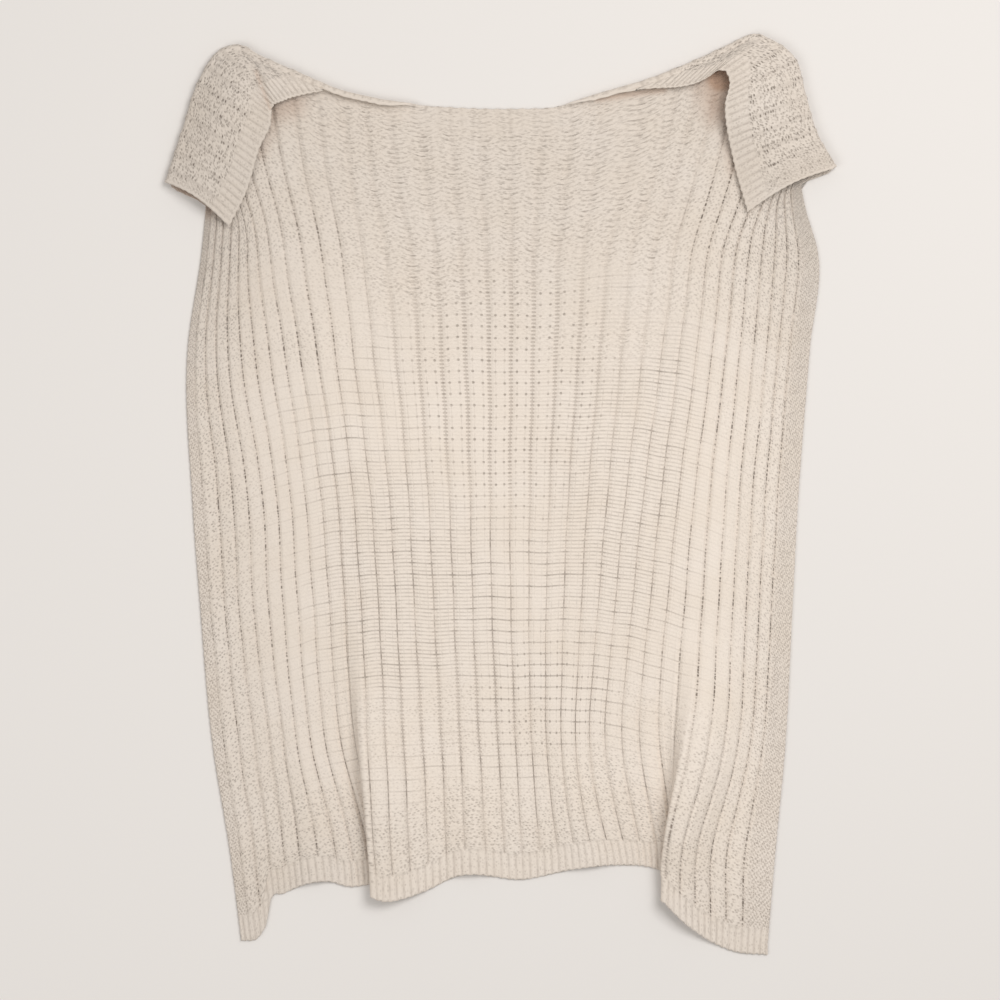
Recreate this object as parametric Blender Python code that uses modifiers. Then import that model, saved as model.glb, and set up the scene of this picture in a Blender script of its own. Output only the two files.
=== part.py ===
"""Chunky knit throw blanket, one knitted piece, laid out on a surface.

The throw lies face up with its foot towards -Y. Its hem has two soft overlapping
pleats, and both top corners are folded forward over the face, each with a lifted
fold where the cloth was gathered up. Metres, +Z up, underside at z = 0.
"""
import math

import bmesh
import bpy
import numpy as np

# Cut size of the flat throw and its knit
CLOTH_WIDTH = 1.27
CLOTH_LENGTH = 1.52
RIB_PITCH = 0.0349
FIRST_GROOVE = 1.7 * RIB_PITCH
GROOVE_COUNT = 34
BORDER = 0.048
GROOVE_THICKNESS = 0.0046
RIB_THICKNESS = 0.0078
PLAIN_THICKNESS = 0.0058

# Folds of the top corners
BEND_RADIUS = 0.011
LEFT_TURN = 0.502
RIGHT_TURN = 0.511
TURN_FADE = 0.080
EDGE_BOW = {"height": 0.010, "reach": 0.15}
BACK_RELIEF = 0.0014

# Pleats at the hem: both lie with their right side in front
PLEAT_UNDER_RADIUS = 0.0095
PLEAT_CREST_RADIUS = 0.0042
PLEAT_SLOPE = 0.140
CREST_MARGIN = 0.010
PLEATS = (
    # name, wale where it starts, length folded back
    {"name": "left", "wale": 8.43, "back": 0.009},
    {"name": "right", "wale": 27.10, "back": 0.024},
)
PLEAT_FADE = (
    # share of the length up from the hem, turn of the cloth in degrees
    (0.00, 176.0),
    (0.05, 170.0),
    (0.11, 120.0),
    (0.17, 80.0),
    (0.26, 32.0),
    (0.36, 0.0),
)

# Where the wales lie, seen from above. One row for each height y.
WALE_COLUMNS = (0.0, 3.0, 7.0, 11.0, 18.0, 26.0, 30.0, 36.4)
LAY = (
    # y, left edge, wale 3, wale 7, wale 11, wale 18, wale 26, wale 30, right edge
    (-0.856, -0.491, -0.396, -0.271, -0.199, 0.049, 0.297, 0.339, 0.507),
    (-0.676, -0.514, -0.412, -0.282, -0.208, 0.041, 0.298, 0.342, 0.522),
    (-0.486, -0.545, -0.437, -0.330, -0.218, 0.029, 0.266, 0.390, 0.540),
    (-0.201, -0.571, -0.470, -0.356, -0.233, 0.019, 0.284, 0.414, 0.555),
    (-0.011, -0.585, -0.479, -0.370, -0.246, 0.018, 0.304, 0.426, 0.565),
    (0.274, -0.594, -0.518, -0.411, -0.280, 0.020, 0.341, 0.455, 0.587),
    (0.464, -0.567, -0.514, -0.438, -0.302, 0.018, 0.363, 0.473, 0.602),
    (0.540, -0.560, -0.510, -0.440, -0.309, 0.016, 0.372, 0.484, 0.580),
    (0.600, -0.558, -0.512, -0.442, -0.312, 0.015, 0.376, 0.490, 0.568),
)

# The hem: distance along the cloth from its left edge, and y
HEM = (
    (0.000, -0.848),
    (0.050, -0.838),
    (0.072, -0.812),
    (0.087, -0.772),
    (0.120, -0.758),
    (0.214, -0.735),
    (0.255, -0.745),
    (0.310, -0.741),
    (0.387, -0.771),
    (0.468, -0.754),
    (0.531, -0.725),
    (0.653, -0.731),
    (0.750, -0.712),
    (0.830, -0.704),
    (0.950, -0.719),
    (1.033, -0.772),
    (1.092, -0.820),
    (1.197, -0.868),
    (1.270, -0.874),
)
HEM_LEVEL = -0.731
HEM_FADE = 0.05
LEFT_DROOP = {"reach": 0.40, "depth": 0.105}
RIGHT_DROOP = {"reach": 0.47, "depth": 0.145}
DROOP_POWER = 1.6

# Top line from above: left fold, straight edge between the folds, right fold
LEFT_FOLD = (
    (-0.637, 0.592),
    (-0.605, 0.689),
    (-0.568, 0.795),
    (-0.536, 0.841),
    (-0.502, 0.854),
    (-0.454, 0.832),
    (-0.369, 0.795),
    (-0.306, 0.769),
    (-0.227, 0.750),
)
TOP_EDGE = (
    (-0.227, 0.750),
    (-0.134, 0.738),
    (0.018, 0.732),
    (0.094, 0.735),
    (0.189, 0.762),
)
RIGHT_FOLD = (
    (0.189, 0.762),
    (0.289, 0.792),
    (0.389, 0.833),
    (0.440, 0.857),
    (0.483, 0.874),
    (0.510, 0.865),
    (0.556, 0.832),
    (0.580, 0.756),
    (0.601, 0.686),
    (0.638, 0.622),
)
TOP_LEVEL = 0.732

# Free top border of each folded corner, from the corner of the cloth inwards
LEFT_CORNER = (
    (-0.514, 0.507),
    (-0.481, 0.574),
    (-0.457, 0.653),
    (-0.434, 0.714),
    (-0.437, 0.728),
    (-0.409, 0.745),
    (-0.348, 0.761),
    (-0.287, 0.768),
    (-0.227, 0.750),
)
RIGHT_CORNER = (
    (0.468, 0.535),
    (0.440, 0.635),
    (0.424, 0.738),
    (0.431, 0.786),
    (0.424, 0.800),
    (0.411, 0.801),
    (0.394, 0.790),
    (0.370, 0.778),
    (0.338, 0.771),
    (0.300, 0.769),
    (0.189, 0.762),
)
LEFT_SHARES = (
    # distance from the side edge, share of the fold line, share of the free border
    (0.000, 0.000, 0.000),
    (0.078, 0.130, 0.171),
    (0.160, 0.267, 0.352),
    (0.226, 0.370, 0.494),
    (0.300, 0.540, 0.580),
    (0.400, 0.778, 0.729),
    (0.450, 0.900, 0.862),
    (0.502, 1.000, 1.000),
)
RIGHT_SHARES = (
    (0.000, 0.000, 0.000),
    (0.104, 0.140, 0.199),
    (0.208, 0.300, 0.398),
    (0.270, 0.410, 0.496),
    (0.330, 0.540, 0.600),
    (0.400, 0.680, 0.715),
    (0.460, 0.810, 0.812),
    (0.511, 1.000, 1.000),
)
LEFT_HEIGHTS = (
    # distance from the corner, height of the free border, lift of the fold
    (0.00, 0.020, 0.012),
    (0.12, 0.021, 0.022),
    (0.22, 0.025, 0.028),
    (0.29, 0.034, 0.022),
    (0.36, 0.025, 0.010),
    (0.44, 0.023, 0.005),
    (0.52, 0.022, 0.000),
)
RIGHT_HEIGHTS = (
    (0.00, 0.020, 0.012),
    (0.12, 0.022, 0.024),
    (0.19, 0.040, 0.024),
    (0.26, 0.043, 0.018),
    (0.33, 0.031, 0.012),
    (0.42, 0.024, 0.006),
    (0.52, 0.022, 0.000),
)

SOFT_FOLDS = (
    # wale and share of the length at each end of the fold, height, half width
    {"from": (4.6, 0.00), "to": (5.2, 0.24), "height": 0.009, "half": 0.050},
    {"from": (15.2, 0.00), "to": (15.6, 0.22), "height": 0.010, "half": 0.048},
    {"from": (21.8, 0.00), "to": (20.6, 0.32), "height": 0.009, "half": 0.070},
    {"from": (2.4, 0.38), "to": (3.6, 0.80), "height": 0.006, "half": 0.070},
    {"from": (9.4, 0.52), "to": (9.0, 0.82), "height": 0.006, "half": 0.065},
    {"from": (32.6, 0.40), "to": (31.6, 0.80), "height": 0.006, "half": 0.075},
    {"from": (26.6, 0.50), "to": (27.0, 0.82), "height": 0.006, "half": 0.070},
)

# Mesh steps along the length, over a fold, across a folded corner and on curves
PANEL_ROWS = (
    0.0, 0.016, 0.032, 0.062, 0.10, 0.145, 0.20, 0.275, 0.37, 0.48,
    0.59, 0.69, 0.77, 0.83, 0.88, 0.92, 0.95, 0.975, 1.0,
)
BEND_STEPS = 4
CORNER_STEPS = 4
SHORTEST_CORNER = 0.010
LEAST_TURN = 0.2
RIB_SHARES = (0.0, 1.0 / 3.0, 2.0 / 3.0)
LEFT_PULL = {"selvage": 0.545, "inner": 0.430, "reach": 0.32}
RIGHT_PULL = {"selvage": 0.585, "inner": 0.430, "reach": 0.32}
TOP_PULL_POWER = 6
PLEAT_UNDER_STEPS = 6
PLEAT_CREST_STEPS = 4
CLOSEST_COLUMNS = 0.003
CROWDED = 0.35
MERGE = 0.00001
FINE = 0.001
CURVE_STEPS = 600
NORMAL_SPAN = 9

YARN_COLOUR = (0.733, 0.651, 0.558, 1.0)
YARN_ROUGHNESS = 0.92


def smooth_step(value):
    """Ease from 0 to 1 with level ends."""
    value = np.clip(value, 0.0, 1.0)
    return value * value * (3.0 - 2.0 * value)


def spline(knots, values, at):
    """Cubic curve through the values, straight beyond both ends."""
    knots = np.asarray(knots, dtype=float)
    values = np.asarray(values, dtype=float)
    at = np.asarray(at, dtype=float)
    steps = np.diff(knots)
    chords = np.diff(values) / steps
    slopes = np.empty_like(values)
    slopes[0] = chords[0]
    slopes[-1] = chords[-1]
    slopes[1:-1] = (steps[1:] * chords[:-1] + steps[:-1] * chords[1:]) / (steps[1:] + steps[:-1])
    inside = np.clip(at, knots[0], knots[-1])
    span = np.clip(np.searchsorted(knots, inside, side="right") - 1, 0, len(steps) - 1)
    t = (inside - knots[span]) / steps[span]
    rise = (2 * t**3 - 3 * t**2 + 1) * values[span] + (3 * t**2 - 2 * t**3) * values[span + 1]
    lean = (t**3 - 2 * t**2 + t) * slopes[span] + (t**3 - t**2) * slopes[span + 1]
    beyond = (at - inside) * np.where(at < inside, slopes[0], slopes[-1])
    return rise + lean * steps[span] + beyond


def walk(points, shares):
    """Places on the smooth curve through the points, at shares of its length."""
    points = np.asarray(points, dtype=float)
    knots = np.concatenate(([0.0], np.cumsum(np.hypot(*np.diff(points, axis=0).T))))
    dense = np.linspace(0.0, knots[-1], CURVE_STEPS)
    curve = np.column_stack([spline(knots, points[:, axis], dense) for axis in (0, 1)])
    length = np.concatenate(([0.0], np.cumsum(np.hypot(*np.diff(curve, axis=0).T))))
    wanted = np.asarray(shares) * length[-1]
    return np.column_stack([np.interp(wanted, length, curve[:, axis]) for axis in (0, 1)])


def wale_position(wale):
    """Distance of a wale's groove from the left edge, along the cloth."""
    return (wale + 0.7) * RIB_PITCH


def column_positions():
    """Distances along the cloth's width where the mesh has its columns."""
    grooves = [FIRST_GROOVE + RIB_PITCH * rib for rib in range(-1, GROOVE_COUNT)]
    ribs = [groove + RIB_PITCH * share for groove in grooves for share in RIB_SHARES][1:]
    columns = [0.0] + ribs + [CLOTH_WIDTH]
    for pleat in PLEATS:
        start = wale_position(pleat["wale"])
        under, crest = pleat_lengths()
        back_end = start + under + pleat["back"]
        end = back_end + crest
        fold = list(start + under * np.linspace(0.0, 1.0, PLEAT_UNDER_STEPS))
        fold += list(back_end + crest * np.linspace(0.0, 1.0, PLEAT_CREST_STEPS))
        if pleat["back"] > 2.0 * PLEAT_UNDER_RADIUS:
            fold.append(back_end - 0.5 * pleat["back"])
        before, after = start - CLOSEST_COLUMNS, end + CLOSEST_COLUMNS
        columns = [a for a in columns if a < before or a > after] + fold
    return np.array(sorted(columns))


def pleat_lengths():
    """Lengths of cloth in a pleat's lower bend and in its crest."""
    turn = math.radians(PLEAT_FADE[0][1])
    return PLEAT_UNDER_RADIUS * turn, PLEAT_CREST_RADIUS * turn


def pleat_profile(share):
    """Sideways travel and height of the cloth across its width at one level."""
    along = np.arange(0.0, CLOTH_WIDTH + FINE, FINE)
    turn = math.radians(float(np.interp(share, *zip(*PLEAT_FADE))))
    angle = np.zeros_like(along)
    under, crest = pleat_lengths()
    for pleat in PLEATS:
        s = along - wale_position(pleat["wale"])
        back_end = under + pleat["back"]
        crest_end = back_end + crest
        rising = np.where(s < under, s / under, 1.0)
        falling = np.clip((s - back_end) / crest, 0.0, 1.0)
        inside = (s > 0.0) & (s < crest_end)
        angle = np.where(inside, turn * rising * (1.0 - falling), angle)
    travel = np.concatenate(([0.0], np.cumsum(np.cos(angle[:-1]) * FINE)))
    height = np.concatenate(([0.0], np.cumsum(np.sin(angle[:-1]) * FINE)))
    for pleat in PLEATS:
        top = wale_position(pleat["wale"]) + under + pleat["back"] + crest
        gained = np.interp(top + FINE, along, height)
        gained -= np.interp(wale_position(pleat["wale"]), along, height)
        fall = smooth_step((along - top) / PLEAT_SLOPE)
        height = height - gained * fall
    return along, travel, height


def droop(along):
    """How far the courses hang down towards the two side edges."""
    left = np.clip(1.0 - along / LEFT_DROOP["reach"], 0.0, 1.0) ** DROOP_POWER
    right_start = CLOTH_WIDTH - RIGHT_DROOP["reach"]
    right = np.clip((along - right_start) / RIGHT_DROOP["reach"], 0.0, 1.0) ** DROOP_POWER
    return -LEFT_DROOP["depth"] * left - RIGHT_DROOP["depth"] * right


def corner_share(table, column, from_edge):
    """Share of a corner's fold line or free border at distances from the side edge."""
    table = np.array(table)
    return spline(table[:, 0], table[:, column], np.clip(from_edge, 0.0, table[-1, 0]))


def top_line(along):
    """Outermost line of the top seen from above: folds and free edge."""
    right_start = CLOTH_WIDTH - RIGHT_TURN
    left = walk(LEFT_FOLD, corner_share(LEFT_SHARES, 1, along))
    middle = walk(TOP_EDGE, np.clip((along - LEFT_TURN) / (right_start - LEFT_TURN), 0.0, 1.0))
    right = walk(RIGHT_FOLD, 1.0 - corner_share(RIGHT_SHARES, 1, CLOTH_WIDTH - along))
    place = np.where(along[:, None] < LEFT_TURN, left, middle)
    return np.where(along[:, None] > right_start, right, place)


def outward(along):
    """Unit vectors in plan that point out of the cloth across its top line."""
    fine = np.linspace(0.0, CLOTH_WIDTH, CURVE_STEPS)
    line = top_line(fine)
    tangent = np.gradient(line, fine, axis=0)
    kernel = np.ones(NORMAL_SPAN) / NORMAL_SPAN
    for axis in (0, 1):
        padded = np.pad(tangent[:, axis], NORMAL_SPAN // 2, mode="edge")
        tangent[:, axis] = np.convolve(padded, kernel, mode="valid")
    tangent /= np.hypot(tangent[:, 0], tangent[:, 1])[:, None]
    normal = np.column_stack((-tangent[:, 1], tangent[:, 0]))
    found = np.column_stack([np.interp(along, fine, normal[:, axis]) for axis in (0, 1)])
    return found / np.hypot(found[:, 0], found[:, 1])[:, None]


def fold_turn(along):
    """Angle that the cloth turns through at the top line, pi where folded over."""
    left_end = LEFT_TURN + TURN_FADE
    right_end = CLOTH_WIDTH - RIGHT_TURN - TURN_FADE
    left = smooth_step((left_end - along) / TURN_FADE)
    right = smooth_step((along - right_end) / TURN_FADE)
    turn = math.pi * np.maximum(left, right)
    return np.where(turn < LEAST_TURN, 0.0, turn)


def pull_start(along):
    """Height y from which each column leaves its lay for its place in the top line."""
    right_side = along > 0.5 * CLOTH_WIDTH
    start = np.zeros_like(along)
    for side, pull, from_edge in (
        (~right_side, LEFT_PULL, along),
        (right_side, RIGHT_PULL, CLOTH_WIDTH - along),
    ):
        inner = smooth_step(from_edge / pull["reach"])
        start += side * (pull["selvage"] + (pull["inner"] - pull["selvage"]) * inner)
    return start


def soft_height(along, share):
    """Height of the soft folds under the cloth at one level."""
    height = np.zeros_like(along)
    for fold in SOFT_FOLDS:
        (wale_a, share_a), (wale_b, share_b) = fold["from"], fold["to"]
        progress = (share - share_a) / (share_b - share_a)
        if not 0.0 <= progress < 1.0:
            continue
        starts_at_hem = share_a == 0.0
        fade = 1.0 - progress**2 if starts_at_hem else math.sin(math.pi * progress)
        centre = wale_position(wale_a + (wale_b - wale_a) * progress)
        reach = np.clip(np.abs(along - centre) / fold["half"], 0.0, 1.0)
        height += fold["height"] * fade * (1.0 - smooth_step(reach))
    return height


def panel_points(columns):
    """Underside of the face, one row of points for each level up the cloth."""
    turn = fold_turn(columns)
    line = top_line(columns)
    inset = BEND_RADIUS * np.sin(np.minimum(turn, 0.5 * math.pi))
    top = line - inset[:, None] * outward(columns)
    hem = spline(*zip(*HEM), columns)
    sag = droop(columns)
    pull_from = pull_start(columns)
    wales = wale_position(np.array(WALE_COLUMNS))
    wales[0], wales[-1] = 0.0, CLOTH_WIDTH
    lay = np.array(LAY)
    rows = []
    for share in PANEL_ROWS:
        level = HEM_LEVEL + (TOP_LEVEL - HEM_LEVEL) * share
        y = level + sag * (1.0 - share**3)
        y += (hem - HEM_LEVEL - sag) * math.exp(-share / HEM_FADE) * (1.0 - share)
        y += (top[:, 1] - TOP_LEVEL) * share**TOP_PULL_POWER
        along, travel, height = pleat_profile(share)
        knots = np.interp(wales, along, travel)
        reached = np.interp(columns, along, travel)
        x = np.empty_like(columns)
        for index, column_y in enumerate(y):
            height_in_table = np.clip(column_y, lay[0, 0], lay[-1, 0])
            places = [spline(lay[:, 0], lay[:, 1 + k], height_in_table)
                      for k in range(len(wales))]
            x[index] = spline(knots, places, reached[index])
        x += (top[:, 0] - x) * smooth_step((y - pull_from) / (top[:, 1] - pull_from))
        z = np.interp(columns, along, height) + soft_height(columns, share)
        rows.append(np.column_stack((x, y, z)))
    return np.array(rows)


def corner_points(columns, corner, shares, heights, from_right):
    """Bend and folded-over part of one top corner, row by row past the fold."""
    turn = fold_turn(columns)
    normal = outward(columns)
    line = top_line(columns)
    inset = BEND_RADIUS * np.sin(np.minimum(turn, 0.5 * math.pi))
    base = line - inset[:, None] * normal
    rows = []
    for step in range(BEND_STEPS + 1):
        angle = turn * step / BEND_STEPS
        plan = base + (BEND_RADIUS * np.sin(angle))[:, None] * normal
        rows.append(np.column_stack((plan, BEND_RADIUS * (1.0 - np.cos(angle)))))
    last = rows[-1]
    from_edge = CLOTH_WIDTH - columns if from_right else columns
    free = walk(corner, corner_share(shares, 2, from_edge))
    reach = free - last[:, :2]
    inward = -np.sum(reach * normal, axis=1)
    folded = (inward > SHORTEST_CORNER) & (turn > math.pi - LEAST_TURN)
    reach = np.where(folded[:, None], reach, 0.0)
    distance = np.hypot(reach[:, 0], reach[:, 1])
    table = np.array(heights)
    free_height = spline(table[:, 0], table[:, 1], from_edge)
    lift = np.maximum(spline(table[:, 0], table[:, 2], from_edge), 0.0)
    bow = EDGE_BOW["height"] * np.clip(1.0 - from_edge / EDGE_BOW["reach"], 0.0, 1.0)
    groove = groove_share(columns)
    evenly = 1.0 - 1.0 / CORNER_STEPS
    short_share = evenly + (0.5 - evenly) * smooth_step(distance / BORDER - 1.0)
    border_share = np.maximum(short_share, 1.0 - BORDER / np.maximum(distance, BORDER))
    for step in range(1, CORNER_STEPS + 1):
        inner = step / (CORNER_STEPS - 1.0)
        share = border_share * min(inner, 1.0) if step < CORNER_STEPS else np.ones_like(distance)
        share = np.where(folded, share, 0.0)
        arch = np.sin(math.pi * share)
        plan = last[:, :2] + reach * share[:, None]
        plan[:, 1] += bow * arch
        z = last[:, 2] * (1.0 - share) + free_height * share + lift * arch
        if step < CORNER_STEPS:
            z += np.where(folded, BACK_RELIEF * groove, 0.0)
        rows.append(np.column_stack((plan, z)))
    return np.array(rows)


def groove_share(columns):
    """1 in the bottom of a groove between ribs, 0 on top of a rib."""
    phase = (columns - FIRST_GROOVE) / RIB_PITCH
    from_groove = np.abs(phase - np.round(phase))
    margin = (phase < -0.9) | (phase > GROOVE_COUNT - 0.1)
    return np.where(margin, 0.5, np.clip(1.0 - from_groove / RIB_SHARES[1], 0.0, 1.0))


def thickness(columns, places, is_level):
    """Thickness of the knit at each column, level in the borders and where crowded."""
    if is_level:
        return np.full_like(columns, PLAIN_THICKNESS)
    body = RIB_THICKNESS + (GROOVE_THICKNESS - RIB_THICKNESS) * groove_share(columns)
    spread = np.hypot(*np.gradient(places[:, :2], columns, axis=0).T)
    loose = smooth_step((spread - CROWDED) / CROWDED)
    body = PLAIN_THICKNESS + (body - PLAIN_THICKNESS) * loose
    under, crest = pleat_lengths()
    for pleat in PLEATS:
        start = wale_position(pleat["wale"])
        end = start + under + pleat["back"] + crest
        in_pleat = (columns > start - CREST_MARGIN) & (columns < end + CREST_MARGIN)
        body = np.where(in_pleat, np.minimum(body, PLAIN_THICKNESS), body)
    return body


def add_grid(mesh, weights, points, depth):
    """Add one grid of the sheet from its rows of points."""
    row_count, column_count = points.shape[:2]
    made = bmesh.ops.create_grid(
        mesh, x_segments=column_count - 1, y_segments=row_count - 1, size=1.0)
    corners = sorted(made["verts"], key=lambda v: (round(v.co.y, 6), round(v.co.x, 6)))
    flat = points.reshape(-1, 3)
    for index, vert in enumerate(corners):
        vert.co = flat[index]
        row, column = divmod(index, column_count)
        vert[weights][0] = float(depth[row][column])


def depth_weight(thick):
    """Vertex group weight that gives a thickness in the Solidify modifier."""
    share = (thick - GROOVE_THICKNESS) / (RIB_THICKNESS - GROOVE_THICKNESS)
    return np.clip(share, 0.0, 1.0)


def build_sheet():
    """The whole underside surface: the face and its two folded corners."""
    columns = column_positions()
    mesh = bmesh.new()
    weights = mesh.verts.layers.deform.verify()
    panel = panel_points(columns)
    border_share = BORDER / CLOTH_LENGTH + FINE
    panel_depth = []
    for share, places in zip(PANEL_ROWS, panel):
        is_level = not border_share < share < 1.0 - border_share
        panel_depth.append(depth_weight(thickness(columns, places, is_level)))
    add_grid(mesh, weights, panel, panel_depth)
    left = columns[columns < LEFT_TURN + TURN_FADE + RIB_PITCH * 0.5]
    right = columns[columns > CLOTH_WIDTH - RIGHT_TURN - TURN_FADE - RIB_PITCH * 0.5]
    for part, corner, shares, heights, from_right in (
        (left, LEFT_CORNER, LEFT_SHARES, LEFT_HEIGHTS, False),
        (right, RIGHT_CORNER, RIGHT_SHARES, RIGHT_HEIGHTS, True),
    ):
        points = corner_points(part, corner, shares, heights, from_right)
        start = 0 if not from_right else len(columns) - len(part)
        points[0] = panel[-1, start:start + len(part)]
        depth = [
            depth_weight(thickness(part, places, row <= BEND_STEPS or row > len(points) - 3))
            for row, places in enumerate(points)
        ]
        add_grid(mesh, weights, points, depth)
    bmesh.ops.remove_doubles(mesh, verts=mesh.verts, dist=MERGE)
    bmesh.ops.dissolve_degenerate(mesh, edges=mesh.edges, dist=MERGE)
    bmesh.ops.recalc_face_normals(mesh, faces=mesh.faces)
    middle = min(mesh.faces, key=lambda face: face.calc_center_median().xy.length)
    if middle.normal.z < 0.0:
        bmesh.ops.reverse_faces(mesh, faces=mesh.faces)
    return mesh


def yarn_material():
    """Warm white cotton yarn."""
    material = bpy.data.materials.new("yarn")
    material.use_nodes = True
    shader = material.node_tree.nodes["Principled BSDF"]
    shader.inputs["Base Color"].default_value = YARN_COLOUR
    shader.inputs["Roughness"].default_value = YARN_ROUGHNESS
    shader.inputs["Metallic"].default_value = 0.0
    return material


def build_blanket(collection):
    """One closed knitted sheet, thick at its ribs and thin in its grooves."""
    sheet = build_sheet()
    data = bpy.data.meshes.new("blanket")
    sheet.to_mesh(data)
    sheet.free()
    data.shade_smooth()
    data.set_sharp_from_angle(angle=math.radians(60.0))
    data.materials.append(yarn_material())
    blanket = bpy.data.objects.new("blanket", data)
    collection.objects.link(blanket)
    blanket.vertex_groups.new(name="rib_height")
    solid = blanket.modifiers.new("knit_thickness", "SOLIDIFY")
    solid.thickness = RIB_THICKNESS
    solid.offset = 1.0
    solid.vertex_group = "rib_height"
    solid.thickness_vertex_group = GROOVE_THICKNESS / RIB_THICKNESS
    return blanket


def main():
    """Clear the scene and build the blanket."""
    for item in list(bpy.data.objects):
        bpy.data.objects.remove(item, do_unlink=True)
    collection = bpy.data.collections.new("chunky_knit_blanket")
    bpy.context.scene.collection.children.link(collection)
    build_blanket(collection)


main()
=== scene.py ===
"""Chunky ribbed knit throw, laid out face up with folded corners and a pleated hem.

The throw is one knitted sheet. Its surface is laid in material coordinates: wales run
up the cloth, courses run across it. The sheet is made in six strips that meet along
the wales, because one mesh would be too heavy. Metres, +Z up, underside at z = 0.
"""

import logging
import math
from dataclasses import dataclass, field
from enum import Enum
from functools import reduce
from operator import or_

import bpy
import numpy as np
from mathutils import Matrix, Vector


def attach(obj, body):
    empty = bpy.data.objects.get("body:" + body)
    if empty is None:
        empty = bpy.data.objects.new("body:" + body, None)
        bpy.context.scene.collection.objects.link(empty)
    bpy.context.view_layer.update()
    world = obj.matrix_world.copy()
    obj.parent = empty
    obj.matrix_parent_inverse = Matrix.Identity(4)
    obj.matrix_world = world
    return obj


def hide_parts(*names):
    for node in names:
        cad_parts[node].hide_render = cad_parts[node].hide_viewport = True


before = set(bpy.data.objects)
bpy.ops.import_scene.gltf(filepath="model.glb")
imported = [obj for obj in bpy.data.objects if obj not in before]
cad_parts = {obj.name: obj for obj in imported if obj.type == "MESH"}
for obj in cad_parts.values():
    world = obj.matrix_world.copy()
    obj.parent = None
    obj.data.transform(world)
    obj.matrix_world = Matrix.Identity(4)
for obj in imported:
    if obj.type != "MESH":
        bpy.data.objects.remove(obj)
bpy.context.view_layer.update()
LOG = logging.getLogger("knit_throw")

Table = tuple[tuple[float, ...], ...]
# the last mask is painted shade under the folded corners and along a crease
MASKS = ("border", "moss", "reverse", "rim", "shelter")


class Side(Enum):
    """Which folded top corner is meant."""

    LEFT = "left"
    RIGHT = "right"


class Face(Enum):
    """Which side of the cloth a surface belongs to."""

    FRONT = 0.0
    REVERSE = 1.0


def smooth_step(value: np.ndarray) -> np.ndarray:
    """Ease from 0 to 1 with level ends."""
    value = np.clip(value, 0.0, 1.0)
    return value * value * (3.0 - 2.0 * value)


def spline(knots: np.ndarray, values: np.ndarray, at: np.ndarray) -> np.ndarray:
    """Cubic curve through values, straight beyond both ends.

    Args:
        knots: Increasing places of the values.
        values: One value for each knot, or one row of values for each knot.
        at: Places where the curve is read, one for each column of values.

    Returns:
        The curve at each place.
    """
    knots = np.asarray(knots, dtype=float)
    values = np.asarray(values, dtype=float)
    at = np.asarray(at, dtype=float)
    if values.ndim == 1:
        values = np.repeat(values[:, None], len(at), axis=1)
    steps = np.diff(knots)[:, None]
    chords = np.diff(values, axis=0) / steps
    slopes = np.empty_like(values)
    slopes[0], slopes[-1] = chords[0], chords[-1]
    slopes[1:-1] = (steps[1:] * chords[:-1] + steps[:-1] * chords[1:]) / (steps[1:] + steps[:-1])
    inside = np.clip(at, knots[0], knots[-1])
    span = np.clip(np.searchsorted(knots, inside, side="right") - 1, 0, len(knots) - 2)
    column = np.arange(len(at))
    step = steps[span, 0]
    t = (inside - knots[span]) / step
    rise = (2 * t**3 - 3 * t**2 + 1) * values[span, column]
    rise += (3 * t**2 - 2 * t**3) * values[span + 1, column]
    lean = (t**3 - 2 * t**2 + t) * slopes[span, column] + (t**3 - t**2) * slopes[span + 1, column]
    beyond = (at - inside) * np.where(at < inside, slopes[0], slopes[-1])
    return rise + lean * step + beyond


def walk(points: Table, shares: np.ndarray) -> np.ndarray:
    """Places on the smooth curve through points, at shares of its length.

    Args:
        points: Plan points of the curve.
        shares: Shares of the curve's length, from 0 to 1.

    Returns:
        One plan point for each share.
    """
    path = np.asarray(points, dtype=float)
    knots = np.concatenate(([0.0], np.cumsum(np.hypot(*np.diff(path, axis=0).T))))
    dense = np.linspace(0.0, knots[-1], 1200)
    curve = np.column_stack([spline(knots, path[:, axis], dense) for axis in (0, 1)])
    length = np.concatenate(([0.0], np.cumsum(np.hypot(*np.diff(curve, axis=0).T))))
    wanted = np.asarray(shares) * length[-1]
    return np.column_stack([np.interp(wanted, length, curve[:, axis]) for axis in (0, 1)])


def unit(vectors: np.ndarray, spare: np.ndarray) -> np.ndarray:
    """Vectors at length one, with a spare where a vector has no length."""
    size = np.linalg.norm(vectors, axis=-1, keepdims=True)
    return np.where(size > 1e-12, vectors / np.maximum(size, 1e-12), spare)


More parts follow.
